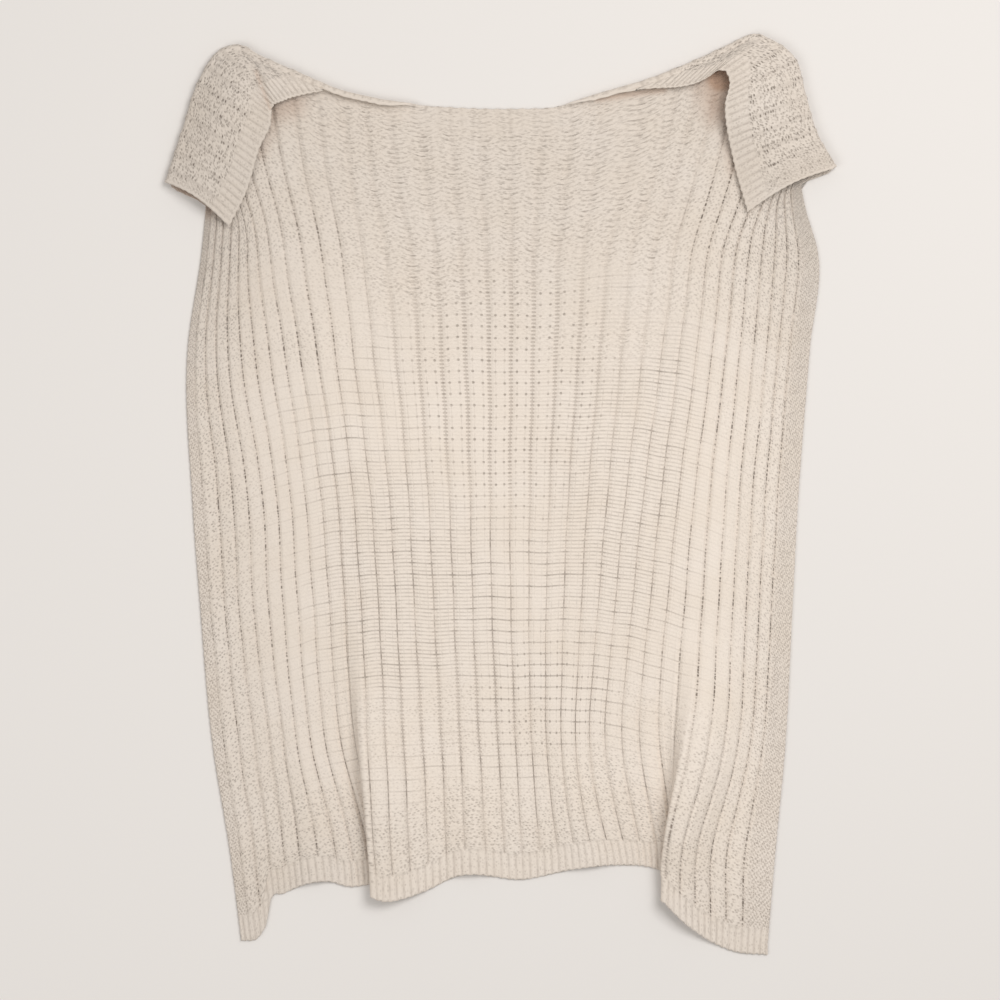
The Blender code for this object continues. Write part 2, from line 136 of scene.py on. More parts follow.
@dataclass(frozen=True)
class Knit:
    """Sizes of the flat cloth and of its stitches."""

    # the flat cloth, its ribs and its courses
    width: float = 1.27
    length: float = 1.52
    rib_pitch: float = 0.0349
    first_wale: float = 0.7
    repeats: float = 68.3
    close_courses: float = 34.0
    close_from: float = 0.75
    # plain ribbed borders at both ends, plain margins at both sides
    border: float = 0.048
    border_ribs: float = 2.5
    left_margin: float = 0.024
    right_margin: float = 0.049
    # thickness in a ladder, on a rib and in the plain parts, and relief of the reverse
    groove: float = 0.0046
    rib: float = 0.0078
    plain: float = 0.0058
    reverse_relief: float = 0.0014
    # share of its flat width below which gathered cloth shows no ribs
    crowded: float = 0.35
    # rounded and uneven edges
    edge_roll: float = 0.0042
    edge_ripple: float = 0.0009
    ripple_reach: float = 0.007
    rim: float = 0.0050
    edge_share: float = 0.22
    # how wide the change from ribs to a border or margin is
    border_fade: float = 0.006
    margin_fade: float = 0.004
    # cloth taken by one repeat past the fold
    course_length: float = 0.0213

    def wale(self, along: np.ndarray) -> np.ndarray:
        """Wale coordinate at distances from the left edge, whole at each ladder."""
        return along / self.rib_pitch - self.first_wale

    def place(self, wale: np.ndarray) -> np.ndarray:
        """Distance from the left edge of a wale coordinate."""
        return (wale + self.first_wale) * self.rib_pitch

    def course(self, share: np.ndarray) -> np.ndarray:
        """Course coordinate at shares of the length, whole at each row of dots."""
        close = np.maximum(share - self.close_from, 0.0)
        return self.repeats * share + self.close_courses * close**2

    def rib_share(self, wale: np.ndarray) -> np.ndarray:
        """0 in the ladder between ribs, 1 on top of a rib."""
        from_ladder = np.abs(wale - np.round(wale))
        return smooth_step((from_ladder - 0.02) / 0.17)


@dataclass(frozen=True)
class Trace:
    """A straight trace seen from above, with the reach of what happens along it."""

    start: tuple[float, float]
    end: tuple[float, float]
    reach: float
    depth: float

    def near(self, places: np.ndarray) -> np.ndarray:
        """Depth on the trace, fading to 0 at its reach.

        Args:
            places: Plan places, in the last axis.

        Returns:
            The depth at each place.
        """
        start, way = np.array(self.start), np.array(self.end) - np.array(self.start)
        share = np.sum((places - start) * way, axis=-1) / max(float(way @ way), 1e-12)
        foot = start + np.clip(share, 0.0, 1.0)[..., None] * way
        far = np.linalg.norm(places - foot, axis=-1)
        return self.depth * (1.0 - smooth_step(far / self.reach))


@dataclass(frozen=True)
class Corner:
    """One top corner of the throw, folded forward over the face."""

    side: Side
    turn: float
    fold: Table
    free_border: Table
    shares: Table
    heights: Table
    pull_selvage: float
    creases: tuple[Trace, ...] = ()
    pull_inner: float = 0.430
    pull_reach: float = 0.32

    def share(self, column: int, from_edge: np.ndarray) -> np.ndarray:
        """Share of the fold line (1) or free border (2) at distances from the side edge."""
        table = np.array(self.shares)
        return spline(table[:, 0], table[:, column], np.clip(from_edge, 0.0, table[-1, 0]))


LEFT_CORNER = Corner(
    side=Side.LEFT,
    turn=0.502,
    fold=(
        (-0.637, 0.592), (-0.605, 0.689), (-0.568, 0.795), (-0.536, 0.841), (-0.502, 0.854),
        (-0.454, 0.832), (-0.369, 0.795), (-0.306, 0.769), (-0.227, 0.750),
    ),
    free_border=(
        (-0.514, 0.507), (-0.481, 0.574), (-0.457, 0.653), (-0.434, 0.714), (-0.437, 0.728),
        (-0.409, 0.745), (-0.348, 0.761), (-0.287, 0.768), (-0.227, 0.750),
    ),
    # distance from the side edge, share of the fold line, share of the free border
    shares=(
        (0.000, 0.000, 0.000), (0.078, 0.130, 0.171), (0.160, 0.267, 0.352),
        (0.226, 0.370, 0.494), (0.300, 0.540, 0.580), (0.400, 0.778, 0.729),
        (0.450, 0.900, 0.862), (0.502, 1.000, 1.000),
    ),
    # distance from the corner, height of the free border, lift of the fold
    heights=(
        (0.00, 0.020, 0.012), (0.12, 0.021, 0.022), (0.22, 0.025, 0.028), (0.29, 0.034, 0.022),
        (0.36, 0.025, 0.010), (0.44, 0.023, 0.005), (0.52, 0.022, 0.000),
    ),
    pull_selvage=0.545,
    creases=(Trace((-0.467, 0.812), (-0.434, 0.724), 0.013, 0.0100),),
)
RIGHT_CORNER = Corner(
    side=Side.RIGHT,
    turn=0.511,
    fold=(
        (0.189, 0.762), (0.289, 0.792), (0.389, 0.833), (0.440, 0.857), (0.483, 0.874),
        (0.510, 0.865), (0.556, 0.832), (0.580, 0.756), (0.601, 0.686), (0.638, 0.622),
    ),
    free_border=(
        (0.468, 0.535), (0.440, 0.635), (0.424, 0.738), (0.431, 0.786), (0.424, 0.800),
        (0.411, 0.801), (0.394, 0.790), (0.370, 0.778), (0.338, 0.771), (0.300, 0.769),
        (0.189, 0.762),
    ),
    shares=(
        (0.000, 0.000, 0.000), (0.104, 0.140, 0.199), (0.208, 0.300, 0.398),
        (0.270, 0.410, 0.496), (0.330, 0.540, 0.600), (0.400, 0.680, 0.715),
        (0.460, 0.810, 0.812), (0.511, 1.000, 1.000),
    ),
    heights=(
        (0.00, 0.020, 0.012), (0.12, 0.022, 0.024), (0.19, 0.040, 0.024), (0.26, 0.043, 0.018),
        (0.33, 0.031, 0.012), (0.42, 0.024, 0.006), (0.52, 0.022, 0.000),
    ),
    pull_selvage=0.585,
    creases=(Trace((0.372, 0.806), (0.440, 0.838), 0.012, 0.0040),),
)


@dataclass(frozen=True)
class Pleat:
    """A soft overlapping pleat at the hem."""

    wale: float
    back: float


@dataclass(frozen=True)
class SoftFold:
    """A low rounded fold that lifts the cloth, from one place on it to another."""

    start: tuple[float, float]
    end: tuple[float, float]
    height: float
    half: float


@dataclass
class Lay:
    """How the throw lies: the place of every point of its underside surface."""

    knit: Knit = field(default_factory=Knit)
    left: Corner = LEFT_CORNER
    right: Corner = RIGHT_CORNER
    bend_radius: float = 0.011
    turn_fade: float = 0.080
    least_turn: float = 0.12
    shortest_corner: float = 0.003
    least_fold: float = math.pi - 0.2
    bow_height: float = 0.010
    bow_reach: float = 0.15
    under_radius: float = 0.0095
    crest_radius: float = 0.0042
    pleat_slope: float = 0.140
    pleats: tuple[Pleat, ...] = (Pleat(8.43, 0.009), Pleat(27.10, 0.024))
    # share of the length up from the hem, turn of the cloth in degrees
    pleat_fade: Table = (
        (0.00, 176.0), (0.05, 170.0), (0.11, 120.0), (0.17, 80.0), (0.26, 32.0), (0.36, 0.0),
    )
    table_wales: tuple[float, ...] = (0.0, 3.0, 7.0, 11.0, 18.0, 26.0, 30.0, 36.4)
    # height y, then x of each table wale there
    table_rows: Table = (
        (-0.856, -0.491, -0.396, -0.271, -0.199, 0.049, 0.297, 0.339, 0.507),
        (-0.676, -0.514, -0.412, -0.282, -0.208, 0.041, 0.298, 0.342, 0.522),
        (-0.486, -0.545, -0.437, -0.330, -0.218, 0.029, 0.266, 0.390, 0.540),
        (-0.201, -0.571, -0.470, -0.356, -0.233, 0.019, 0.284, 0.414, 0.555),
        (-0.011, -0.585, -0.479, -0.370, -0.246, 0.018, 0.304, 0.426, 0.565),
        (0.274, -0.594, -0.518, -0.411, -0.280, 0.020, 0.341, 0.455, 0.587),
        (0.464, -0.567, -0.514, -0.438, -0.302, 0.018, 0.363, 0.473, 0.602),
        (0.540, -0.560, -0.510, -0.440, -0.309, 0.016, 0.372, 0.484, 0.580),
        (0.600, -0.558, -0.512, -0.442, -0.312, 0.015, 0.376, 0.490, 0.568),
    )
    # distance along the cloth from its left edge, and y of the hem
    hem: Table = (
        (0.000, -0.848), (0.050, -0.838), (0.072, -0.812), (0.087, -0.772), (0.120, -0.758),
        (0.214, -0.735), (0.255, -0.745), (0.310, -0.741), (0.387, -0.771), (0.468, -0.754),
        (0.531, -0.725), (0.653, -0.731), (0.750, -0.712), (0.830, -0.704), (0.950, -0.719),
        (1.033, -0.772), (1.092, -0.820), (1.197, -0.868), (1.270, -0.874),
    )
    hem_level: float = -0.731
    hem_fade: float = 0.05
    left_droop: tuple[float, float] = (0.40, 0.105)
    right_droop: tuple[float, float] = (0.47, 0.145)
    droop_power: float = 1.6
    top_edge: Table = (
        (-0.227, 0.750), (-0.134, 0.738), (0.018, 0.732), (0.094, 0.735), (0.189, 0.762),
    )
    top_level: float = 0.732
    soft_folds: tuple[SoftFold, ...] = (
        SoftFold((4.6, 0.00), (5.2, 0.24), 0.009, 0.050),
        SoftFold((15.2, 0.00), (15.6, 0.22), 0.010, 0.048),
        SoftFold((21.8, 0.00), (20.6, 0.32), 0.009, 0.070),
        SoftFold((2.4, 0.38), (3.6, 0.80), 0.006, 0.070),
        SoftFold((9.4, 0.52), (9.0, 0.82), 0.006, 0.065),
        SoftFold((32.6, 0.40), (31.6, 0.80), 0.006, 0.075),
        SoftFold((26.6, 0.50), (27.0, 0.82), 0.006, 0.070),
    )

    def pleat_lengths(self) -> tuple[float, float]:
        """Lengths of cloth in a pleat's lower bend and in its crest."""
        turn = math.radians(self.pleat_fade[0][1])
        return self.under_radius * turn, self.crest_radius * turn

    def pleat_profile(self, share: float) -> tuple[np.ndarray, np.ndarray, np.ndarray]:
        """Course of the cloth across its width at one level.

        Args:
            share: Share of the length, from the hem.

        Returns:
            Distance along the cloth, sideways travel and height.
        """
        fine = 0.0005
        along = np.arange(0.0, self.knit.width + fine, fine)
        turn = math.radians(float(np.interp(share, *zip(*self.pleat_fade))))
        if turn == 0.0:
            return along, along.copy(), np.zeros_like(along)
        angle = np.zeros_like(along)
        under, crest = self.pleat_lengths()
        for pleat in self.pleats:
            s = along - self.knit.place(pleat.wale)
            back_end = under + pleat.back
            rising = np.clip(s / under, 0.0, 1.0)
            falling = np.clip((s - back_end) / crest, 0.0, 1.0)
            inside = (s > 0.0) & (s < back_end + crest)
            angle = np.where(inside, turn * rising * (1.0 - falling), angle)
        travel = np.concatenate(([0.0], np.cumsum(np.cos(angle[:-1]) * fine)))
        height = np.concatenate(([0.0], np.cumsum(np.sin(angle[:-1]) * fine)))
        for pleat in self.pleats:
            start = self.knit.place(pleat.wale)
            top = start + under + pleat.back + crest
            gained = np.interp(top + 2.0 * fine, along, height) - np.interp(start, along, height)
            height = height - gained * smooth_step((along - top) / self.pleat_slope)
        return along, travel, height

    def droop(self, along: np.ndarray) -> np.ndarray:
        """How far the courses hang down towards the two side edges.

        Args:
            along: Distances from the left edge.

        Returns:
            The change of height y at each.
        """
        left_reach, left_depth = self.left_droop
        right_reach, right_depth = self.right_droop
        left = np.clip(1.0 - along / left_reach, 0.0, 1.0) ** self.droop_power
        start = self.knit.width - right_reach
        right = np.clip((along - start) / right_reach, 0.0, 1.0) ** self.droop_power
        return -left_depth * left - right_depth * right

    def top_line(self, along: np.ndarray) -> np.ndarray:
        """Outermost line of the top seen from above: folds and free edge.

        Args:
            along: Distances from the left edge.

        Returns:
            Plan points.
        """
        width = self.knit.width
        right_start = width - self.right.turn
        left = walk(self.left.fold, self.left.share(1, along))
        span = right_start - self.left.turn
        middle = walk(self.top_edge, np.clip((along - self.left.turn) / span, 0.0, 1.0))
        right = walk(self.right.fold, 1.0 - self.right.share(1, width - along))
        place = np.where(along[:, None] < self.left.turn, left, middle)
        return np.where(along[:, None] > right_start, right, place)

    def outward(self, along: np.ndarray) -> np.ndarray:
        """Unit plan vectors that point out of the cloth across its top line.

        Args:
            along: Distances from the left edge.

        Returns:
            The vectors.
        """
        fine = np.linspace(0.0, self.knit.width, 600)
        tangent = np.gradient(self.top_line(fine), fine, axis=0)
        span = 9
        for axis in (0, 1):
            padded = np.pad(tangent[:, axis], span // 2, mode="edge")
            tangent[:, axis] = np.convolve(padded, np.ones(span) / span, mode="valid")
        normal = np.column_stack((-tangent[:, 1], tangent[:, 0]))
        found = np.column_stack([np.interp(along, fine, normal[:, axis]) for axis in (0, 1)])
        return found / np.hypot(found[:, 0], found[:, 1])[:, None]

    def fold_turn(self, along: np.ndarray) -> np.ndarray:
        """Angle that the cloth turns through at the top line, pi where folded over.

        Args:
            along: Distances from the left edge.

        Returns:
            The angle at each.
        """
        left_end = self.left.turn + self.turn_fade
        right_end = self.knit.width - self.right.turn - self.turn_fade
        left = smooth_step((left_end - along) / self.turn_fade)
        right = smooth_step((along - right_end) / self.turn_fade)
        turn = math.pi * np.maximum(left, right)
        return np.where(turn < self.least_turn, 0.0, turn)

    def pull_start(self, along: np.ndarray) -> np.ndarray:
        """Height y from which a column leaves its lay for its place in the top line.

        Args:
            along: Distances from the left edge.

        Returns:
            The height y at each.
        """
        start = np.zeros_like(along)
        on_right = along > 0.5 * self.knit.width
        for corner, side, from_edge in (
            (self.left, ~on_right, along),
            (self.right, on_right, self.knit.width - along),
        ):
            inner = smooth_step(from_edge / corner.pull_reach)
            change = (corner.pull_inner - corner.pull_selvage) * inner
            start += side * (corner.pull_selvage + change)
        return start

    def soft_height(self, along: np.ndarray, share: float) -> np.ndarray:
        """Height of the soft folds under the cloth at one level.

        Args:
            along: Distances from the left edge.
            share: Share of the length, from the hem.

        Returns:
            The height at each.
        """
        height = np.zeros_like(along)
        for fold in self.soft_folds:
            (wale_a, share_a), (wale_b, share_b) = fold.start, fold.end
            progress = (share - share_a) / (share_b - share_a)
            if not 0.0 <= progress < 1.0:
                continue
            fade = 1.0 - progress**2 if share_a == 0.0 else math.sin(math.pi * progress)
            centre = self.knit.place(wale_a + (wale_b - wale_a) * progress)
            reach = np.abs(along - centre) / fold.half
            height += fold.height * fade * (1.0 - smooth_step(reach))
        return height

    def panel(self, along: np.ndarray, shares: np.ndarray) -> np.ndarray:
        """Underside of the face.

        Args:
            along: Distance of each column from the left edge.
            shares: Share of the length of each row, from the hem.

        Returns:
            Points by row and column.
        """
        line = self.top_line(along)
        inset = self.bend_radius * np.sin(np.minimum(self.fold_turn(along), 0.5 * math.pi))
        top = line - inset[:, None] * self.outward(along)
        hem = spline(*zip(*self.hem), along)
        sag = self.droop(along)
        pull = self.pull_start(along)
        wales = self.knit.place(np.array(self.table_wales))
        wales[0], wales[-1] = 0.0, self.knit.width
        lay = np.array(self.table_rows)
        levels = np.linspace(lay[0, 0], lay[-1, 0], 400)
        curves = [spline(lay[:, 0], lay[:, 1 + k], levels) for k in range(len(wales))]
        rows = []
        for share in shares:
            y = self.hem_level + (self.top_level - self.hem_level) * share + sag * (1.0 - share**3)
            y += (hem - self.hem_level - sag) * math.exp(-share / self.hem_fade) * (1.0 - share)
            y += (top[:, 1] - self.top_level) * share**6
            distance, travel, height = self.pleat_profile(float(share))
            places = np.array([np.interp(y, levels, curve) for curve in curves])
            knots = np.interp(wales, distance, travel)
            x = spline(knots, places, np.interp(along, distance, travel))
            x += (top[:, 0] - x) * smooth_step((y - pull) / (top[:, 1] - pull))
            z = np.interp(along, distance, height) + self.soft_height(along, float(share))
            rows.append(np.column_stack((x, y, z)))
        return np.array(rows)

    def corner(
        self, along: np.ndarray, corner: Corner, bends: np.ndarray, shares: np.ndarray
    ) -> tuple[np.ndarray, np.ndarray]:
        """Bend and folded-over part of one top corner.

        Args:
            along: Distance of each column from the left edge.
            corner: The corner that is laid.
            bends: Shares of the bend's angle, one for each of its rows.
            shares: Shares from the bend's end to the free border.

        Returns:
            Points by row and column, and whether each column reaches past its bend.
        """
        turn = self.fold_turn(along)
        normal = self.outward(along)
        radius = self.bend_radius
        inset = radius * np.sin(np.minimum(turn, 0.5 * math.pi))
        base = self.top_line(along) - inset[:, None] * normal
        rows = []
        for share in bends:
            angle = turn * share
            plan = base + (radius * np.sin(angle))[:, None] * normal
            rows.append(np.column_stack((plan, radius * (1.0 - np.cos(angle)))))
        last = rows[-1]
        from_edge = along if corner.side is Side.LEFT else self.knit.width - along
        free = walk(corner.free_border, corner.share(2, from_edge))
        reach = free - last[:, :2]
        inward = -np.sum(reach * normal, axis=1)
        folded = (inward > self.shortest_corner) & (turn > self.least_fold)
        reach = np.where(folded[:, None], reach, 0.0)
        table = np.array(corner.heights)
        free_height = spline(table[:, 0], table[:, 1], from_edge)
        lift = np.maximum(spline(table[:, 0], table[:, 2], from_edge), 0.0)
        bow = self.bow_height * np.clip(1.0 - from_edge / self.bow_reach, 0.0, 1.0)
        for step in shares:
            share = np.where(folded, step, 0.0)
            arch = np.sin(math.pi * share)
            plan = last[:, :2] + reach * share[:, None]
            plan[:, 1] += bow * arch
            z = last[:, 2] * (1.0 - share) + free_height * share + lift * arch
            for crease in corner.creases:
                z -= crease.near(plan) * np.sqrt(arch)
            rows.append(np.column_stack((plan, z)))
        return np.array(rows), folded


@dataclass
class Relief:
    """Raised and sunk detail of the knit, in material coordinates."""

    knit: Knit = field(default_factory=Knit)
    dot_depth: float = 0.0005
    ladder_depth: float = 0.0005
    stitch_height: float = 0.0002
    border_height: float = 0.0006
    moss_height: float = 0.0002
    rim_height: float = 0.0009
    wander: float = 0.030

    def drift(self, wale: np.ndarray, course: np.ndarray) -> tuple[np.ndarray, np.ndarray]:
        """Stitch coordinates with the small unevenness of hand-fed yarn.

        Args:
            wale: Wale coordinates.
            course: Course coordinates.

        Returns:
            Wale and course coordinates, both slightly moved.
        """
        across = np.sin(0.83 * wale + 0.31 * course) * np.sin(0.47 * course - 0.9 * wale)
        along = np.sin(1.37 * wale - 0.23 * course) + 0.6 * np.sin(3.1 * wale + 0.11 * course)
        return wale + self.wander * across, course + 1.6 * self.wander * along

    def front(self, wale: np.ndarray, course: np.ndarray) -> np.ndarray:
        """Height of the stitches on the face.

        Args:
            wale: Wale coordinates.
            course: Course coordinates.

        Returns:
            The height at each.
        """
        from_band = np.abs(wale - np.floor(wale) - 0.5)
        from_row = np.abs(course - np.round(course))
        from_course = np.abs(3.0 * course - np.round(3.0 * course))
        dot = np.clip(1.0 - np.hypot((from_band - 0.21) / 0.075, from_row / 0.15), 0.0, 1.0)
        ladder = smooth_step((from_band - 0.34) / 0.08) * (1.0 - smooth_step(from_course / 0.3))
        stitch = np.cos(2.0 * math.pi * 3.0 * course) * (1.0 - smooth_step(from_band / 0.3))
        return (
            -self.dot_depth * smooth_step(1.6 * dot)
            - self.ladder_depth * ladder
            - self.stitch_height * stitch
        )

    def reverse(self, wale: np.ndarray, course: np.ndarray) -> np.ndarray:
        """Height of the stitches on the reverse side."""
        purl = np.sin(2.0 * math.pi * 3.0 * wale) * np.sin(2.0 * math.pi * 1.5 * course)
        return self.knit.reverse_relief * (1.0 - self.knit.rib_share(wale)) + 0.0004 * purl

    def border(self, wale: np.ndarray) -> np.ndarray:
        """Height of the narrow ribs of the borders."""
        return -self.border_height * np.cos(2.0 * math.pi * self.knit.border_ribs * wale)

    def moss(self, wale: np.ndarray, course: np.ndarray) -> np.ndarray:
        """Height of the moss stitch in the side margins."""
        bumps = np.sin(2.0 * math.pi * 4.3 * wale) * np.sin(2.0 * math.pi * 2.2 * course)
        return self.moss_height * bumps


@dataclass
class Sheet:
    """Both surfaces of the cloth at every row and column, with their attributes."""

    lay: Lay = field(default_factory=Lay)
    relief: Relief = field(default_factory=Relief)
    column_shares: tuple[float, ...] = (
        0.0, 0.09, 0.19, 0.25, 0.29, 0.33, 0.41, 0.5, 0.59, 0.67, 0.71, 0.75, 0.81, 0.91,
    )
    row_shares: tuple[float, ...] = (0.0, 0.08, 0.2, 0.333, 0.45, 0.56, 0.667, 0.8, 0.92)
    edge_steps: tuple[float, ...] = (0.0, 0.0007, 0.0019, 0.0040)
    bend_rows: int = 13
    corner_rows: int = 46
    # traces on the face where shade is painted, where the folded cloth keeps the light out
    hollows: tuple[Trace, ...] = (
        Trace((0.424, 0.814), (0.418, 0.790), 0.052, 1.45),
        Trace((0.408, 0.775), (0.418, 0.735), 0.065, 0.60),
        Trace((-0.432, 0.728), (-0.395, 0.742), 0.050, 0.40),
        Trace((-0.425, 0.720), (-0.455, 0.650), 0.026, 0.22),
        Trace((-0.612, 0.590), (-0.560, 0.550), 0.040, 0.60),
        Trace((0.185, 0.752), (0.309, 0.768), 0.012, 0.45),
        Trace((0.425, 0.700), (0.440, 0.620), 0.024, 0.25),
    )
    # painted shade along the crease on the reverse of the left flap
    crease_marks: tuple[Trace, ...] = (Trace((-0.463, 0.800), (-0.436, 0.730), 0.0055, 0.35),)
    front: np.ndarray = field(init=False)
    back: np.ndarray = field(init=False)

    def __post_init__(self) -> None:
        """Lay out the columns and rows, then both surfaces."""
        knit = self.lay.knit
        self.along = self.columns()
        self.shares = self.rows()
        wale = knit.wale(self.along)
        self.panel_rows = len(self.shares)
        panel = self.lay.panel(self.along, self.shares)
        bends = np.linspace(0.0, 1.0, self.bend_rows)
        steps = np.linspace(0.0, 1.0, self.corner_rows)[1:]
        steps = np.concatenate((steps[:-1], [1.0 - 0.25 * (1.0 - steps[-2]), 1.0]))
        self.turned = self.lay.fold_turn(self.along) > 0.0
        on_left = self.along < 0.5 * knit.width
        parts = [self.lay.corner(self.along, corner, bends, steps)
                 for corner in (self.lay.left, self.lay.right)]
        corner = np.where(on_left[None, :, None], parts[0][0], parts[1][0])
        self.folded = np.where(on_left, parts[0][1], parts[1][1])
        corner[0] = panel[-1]
        self.under = np.concatenate((panel, corner[1:]))
        self.under[self.panel_rows:, ~self.turned] = panel[-1][~self.turned]
        courses = knit.course(self.shares)
        beyond = self.course_beyond(courses[-1])
        course = np.concatenate((np.repeat(courses[:, None], len(wale), axis=1), beyond))
        wales = np.repeat(wale[None, :], len(course), axis=0)
        self.wale, self.course = self.relief.drift(wales, course)
        self.make_surfaces()

    def columns(self) -> np.ndarray:
        """Lay out the mesh columns: finer at the ladders, in the pleats and at the edges.

        Returns:
            Their distances from the left edge, increasing.
        """
        knit = self.lay.knit
        wales = [k + share for k in range(-1, 37) for share in self.column_shares]
        inner = knit.place(np.array(wales))
        close = self.edge_steps[-1] + 0.001
        inner = inner[(inner > close) & (inner < knit.width - close)]
        under, crest = self.lay.pleat_lengths()
        extra = []
        for pleat in self.lay.pleats:
            start = knit.place(pleat.wale)
            extra += list(np.arange(start, start + under, 0.0019))
            back_end = start + under + pleat.back
            extra += list(np.arange(back_end - 0.001, back_end + crest + 0.002, 0.0011))
        edges = list(self.edge_steps) + [knit.width - step for step in self.edge_steps]
        found = np.array(sorted(list(inner) + extra + edges))
        keep = np.concatenate(([True], np.diff(found) > 0.0004))
        return found[keep]

    def rows(self) -> np.ndarray:
        """Lay out the mesh rows on the face.

        Returns:
            Their shares of the length, from the hem.
        """
        knit = self.lay.knit
        dense = np.linspace(0.0, 1.0, 4000)
        last = knit.course(np.array([1.0]))[0]
        wanted = [k + share for k in range(int(last) + 1) for share in self.row_shares]
        wanted = np.array([course for course in wanted if course < last])
        shares = np.interp(wanted, knit.course(dense), dense)
        rise = self.lay.top_level - self.lay.hem_level
        edge = np.array(self.edge_steps) / rise
        close = edge[-1] + 0.0006
        inner = shares[(shares > close) & (shares < 1.0 - close)]
        return np.concatenate((edge, inner, 1.0 - edge[::-1]))

    def course_beyond(self, last: float) -> np.ndarray:
        """Course coordinates past the face, from the cloth length there."""
        length = np.linalg.norm(np.diff(self.under[self.panel_rows - 1:], axis=0), axis=2)
        return last + np.cumsum(length, axis=0) / self.lay.knit.course_length

    def make_surfaces(self) -> None:
        """Both surfaces: thickness, relief, rounded edges, the stitch masks and the masks of painted shade.
        """
        knit = self.lay.knit
        under = self.under
        up, across = np.gradient(under, axis=(0, 1))
        for row in range(self.panel_rows, len(under)):
            short = np.linalg.norm(up[row], axis=1) < 1e-7
            up[row][short] = up[row - 1][short]
        plain_up = np.broadcast_to(np.array((0.0, 0.0, 1.0)), under.shape)
        normal = unit(np.cross(across, up), plain_up)
        step = np.linalg.norm(np.diff(under, axis=0), axis=2)
        travelled = np.concatenate((np.zeros((1, step.shape[1])), np.cumsum(step, axis=0)))
        to_hem = travelled
        to_free = travelled[-1][None, :] - travelled
        to_side = np.minimum(self.along, knit.width - self.along)[None, :]
        under = under + self.edge_ripple(unit(up, plain_up), unit(across, plain_up), to_hem, to_free)
        to_edge = np.minimum(np.minimum(to_hem, to_free), to_side)
        roll = np.sqrt(1.0 - (1.0 - np.clip(to_edge / knit.edge_roll, 0.0, 1.0)) ** 2)
        roll = knit.edge_share + (1.0 - knit.edge_share) * roll
        row_index = np.arange(len(under))[:, None]
        on_face = np.where(row_index < self.panel_rows, 1.0, 0.0)
        near_fold = smooth_step((1.0 - np.concatenate(
            (self.shares, np.ones(len(under) - self.panel_rows)))) / 0.02)[:, None]
        face_detail = on_face * np.where(self.turned[None, :], near_fold, 1.0)
        back_detail = np.where(row_index >= self.panel_rows, 1.0, 0.0) * self.folded[None, :]
        spread = np.hypot(*np.gradient(under[:, :, :2], self.along, axis=1).transpose(2, 0, 1))
        loose = smooth_step((spread - knit.crowded) / knit.crowded)
        border_start, fade = knit.border - 0.5 * knit.border_fade, knit.border_fade
        hem_mask = 1.0 - smooth_step((to_hem - border_start) / fade)
        free_mask = 1.0 - smooth_step((to_free - border_start) / fade)
        self.border = np.maximum(hem_mask, free_mask * np.where(on_face > 0.0, 0.25, 1.0))
        fade = knit.margin_fade
        left = 1.0 - smooth_step((self.along - knit.left_margin) / fade + 0.5)
        right = smooth_step((self.along - knit.width + knit.right_margin) / fade + 0.5)
        self.moss = np.maximum(left, right)[None, :] * (1.0 - self.border)
        body = (1.0 - np.maximum(hem_mask, free_mask)) * (1.0 - self.moss)
        rib = knit.groove + (knit.rib - knit.groove) * knit.rib_share(self.wale)
        thick = knit.plain + (rib - knit.plain) * loose * body * face_detail
        turned = np.broadcast_to(self.turned[None, :], under.shape[:2])
        to_rim = np.where(turned, np.minimum(to_free, to_side + np.zeros_like(to_free)), 1.0)
        self.rim = 1.0 - smooth_step((to_rim - 0.6 * knit.rim) / (0.6 * knit.rim))
        # painted shade where the folded corners keep the light off the face
        shelters = [hollow.near(under[:, :, :2]) for hollow in self.hollows]
        self.shelter = np.clip(np.max(shelters, axis=0), 0.0, 1.0)
        # painted shade along the crease on the reverse of the left flap
        marks = [mark.near(under[:, :, :2]) for mark in self.crease_marks]
        self.reverse_shelter = np.clip(np.max(marks, axis=0), 0.0, 1.0) * back_detail
        relief = self.relief
        front = relief.front(self.wale, self.course) * body * face_detail * (0.3 + 0.7 * loose)
        side = relief.border(self.wale) * self.border
        side += relief.moss(self.wale, self.course) * self.moss
        front += side * face_detail
        reverse = relief.reverse(self.wale, self.course) * body + side
        reverse = reverse * (1.0 - self.rim) + relief.rim_height * self.rim
        reverse = reverse * back_detail
        middle = under + normal * (0.5 * thick)[:, :, None]
        half = 0.5 * thick * roll
        self.front = middle + normal * (half + front * roll)[:, :, None]
        self.back = middle - normal * (half + reverse * roll)[:, :, None]
        self.back[:, :, 2] = np.maximum(self.back[:, :, 2], 0.0)
        self.front_normal = self.surface_normal(self.front, normal)
        self.back_normal = -self.surface_normal(self.back, normal)

    def edge_ripple(
        self, up: np.ndarray, across: np.ndarray, to_hem: np.ndarray, to_free: np.ndarray
    ) -> np.ndarray:
        """Small moves that give the free edges the uneven line of knitting.

        Args:
            up: Unit vectors along the wales.
            across: Unit vectors along the courses.
            to_hem: Distance from the hem.
            to_free: Distance from the free edge at the top.

        Returns:
            The move of each point.
        """
        knit = self.lay.knit
        hem, free, left, right = (
            1.0 - smooth_step(distance / knit.ripple_reach)
            for distance in (to_hem, to_free, self.along[None, :], (knit.width - self.along)[None, :])
        )
        ribs = np.cos(2.0 * math.pi * knit.border_ribs * self.wale)
        stitches = 0.6 * np.cos(2.0 * math.pi * 1.5 * self.course)
        lengthwise = knit.edge_ripple * ribs * (free - hem)
        sideways = knit.edge_ripple * stitches * (right - left)
        return lengthwise[:, :, None] * up + sideways[:, :, None] * across

    def surface_normal(self, points: np.ndarray, spare: np.ndarray) -> np.ndarray:
        """Unit normals of one surface, on the face's side.

        Args:
            points: The surface by row and column.
            spare: Normals of the cloth, taken where the surface's own would point away.

        Returns:
            The normals by row and column.
        """
        up, across = np.gradient(points, axis=(0, 1))
        normal = unit(np.cross(across, up), spare)
        wrong = np.sum(normal * spare, axis=2) < 0.1
        normal[wrong] = spare[wrong]
        return normal


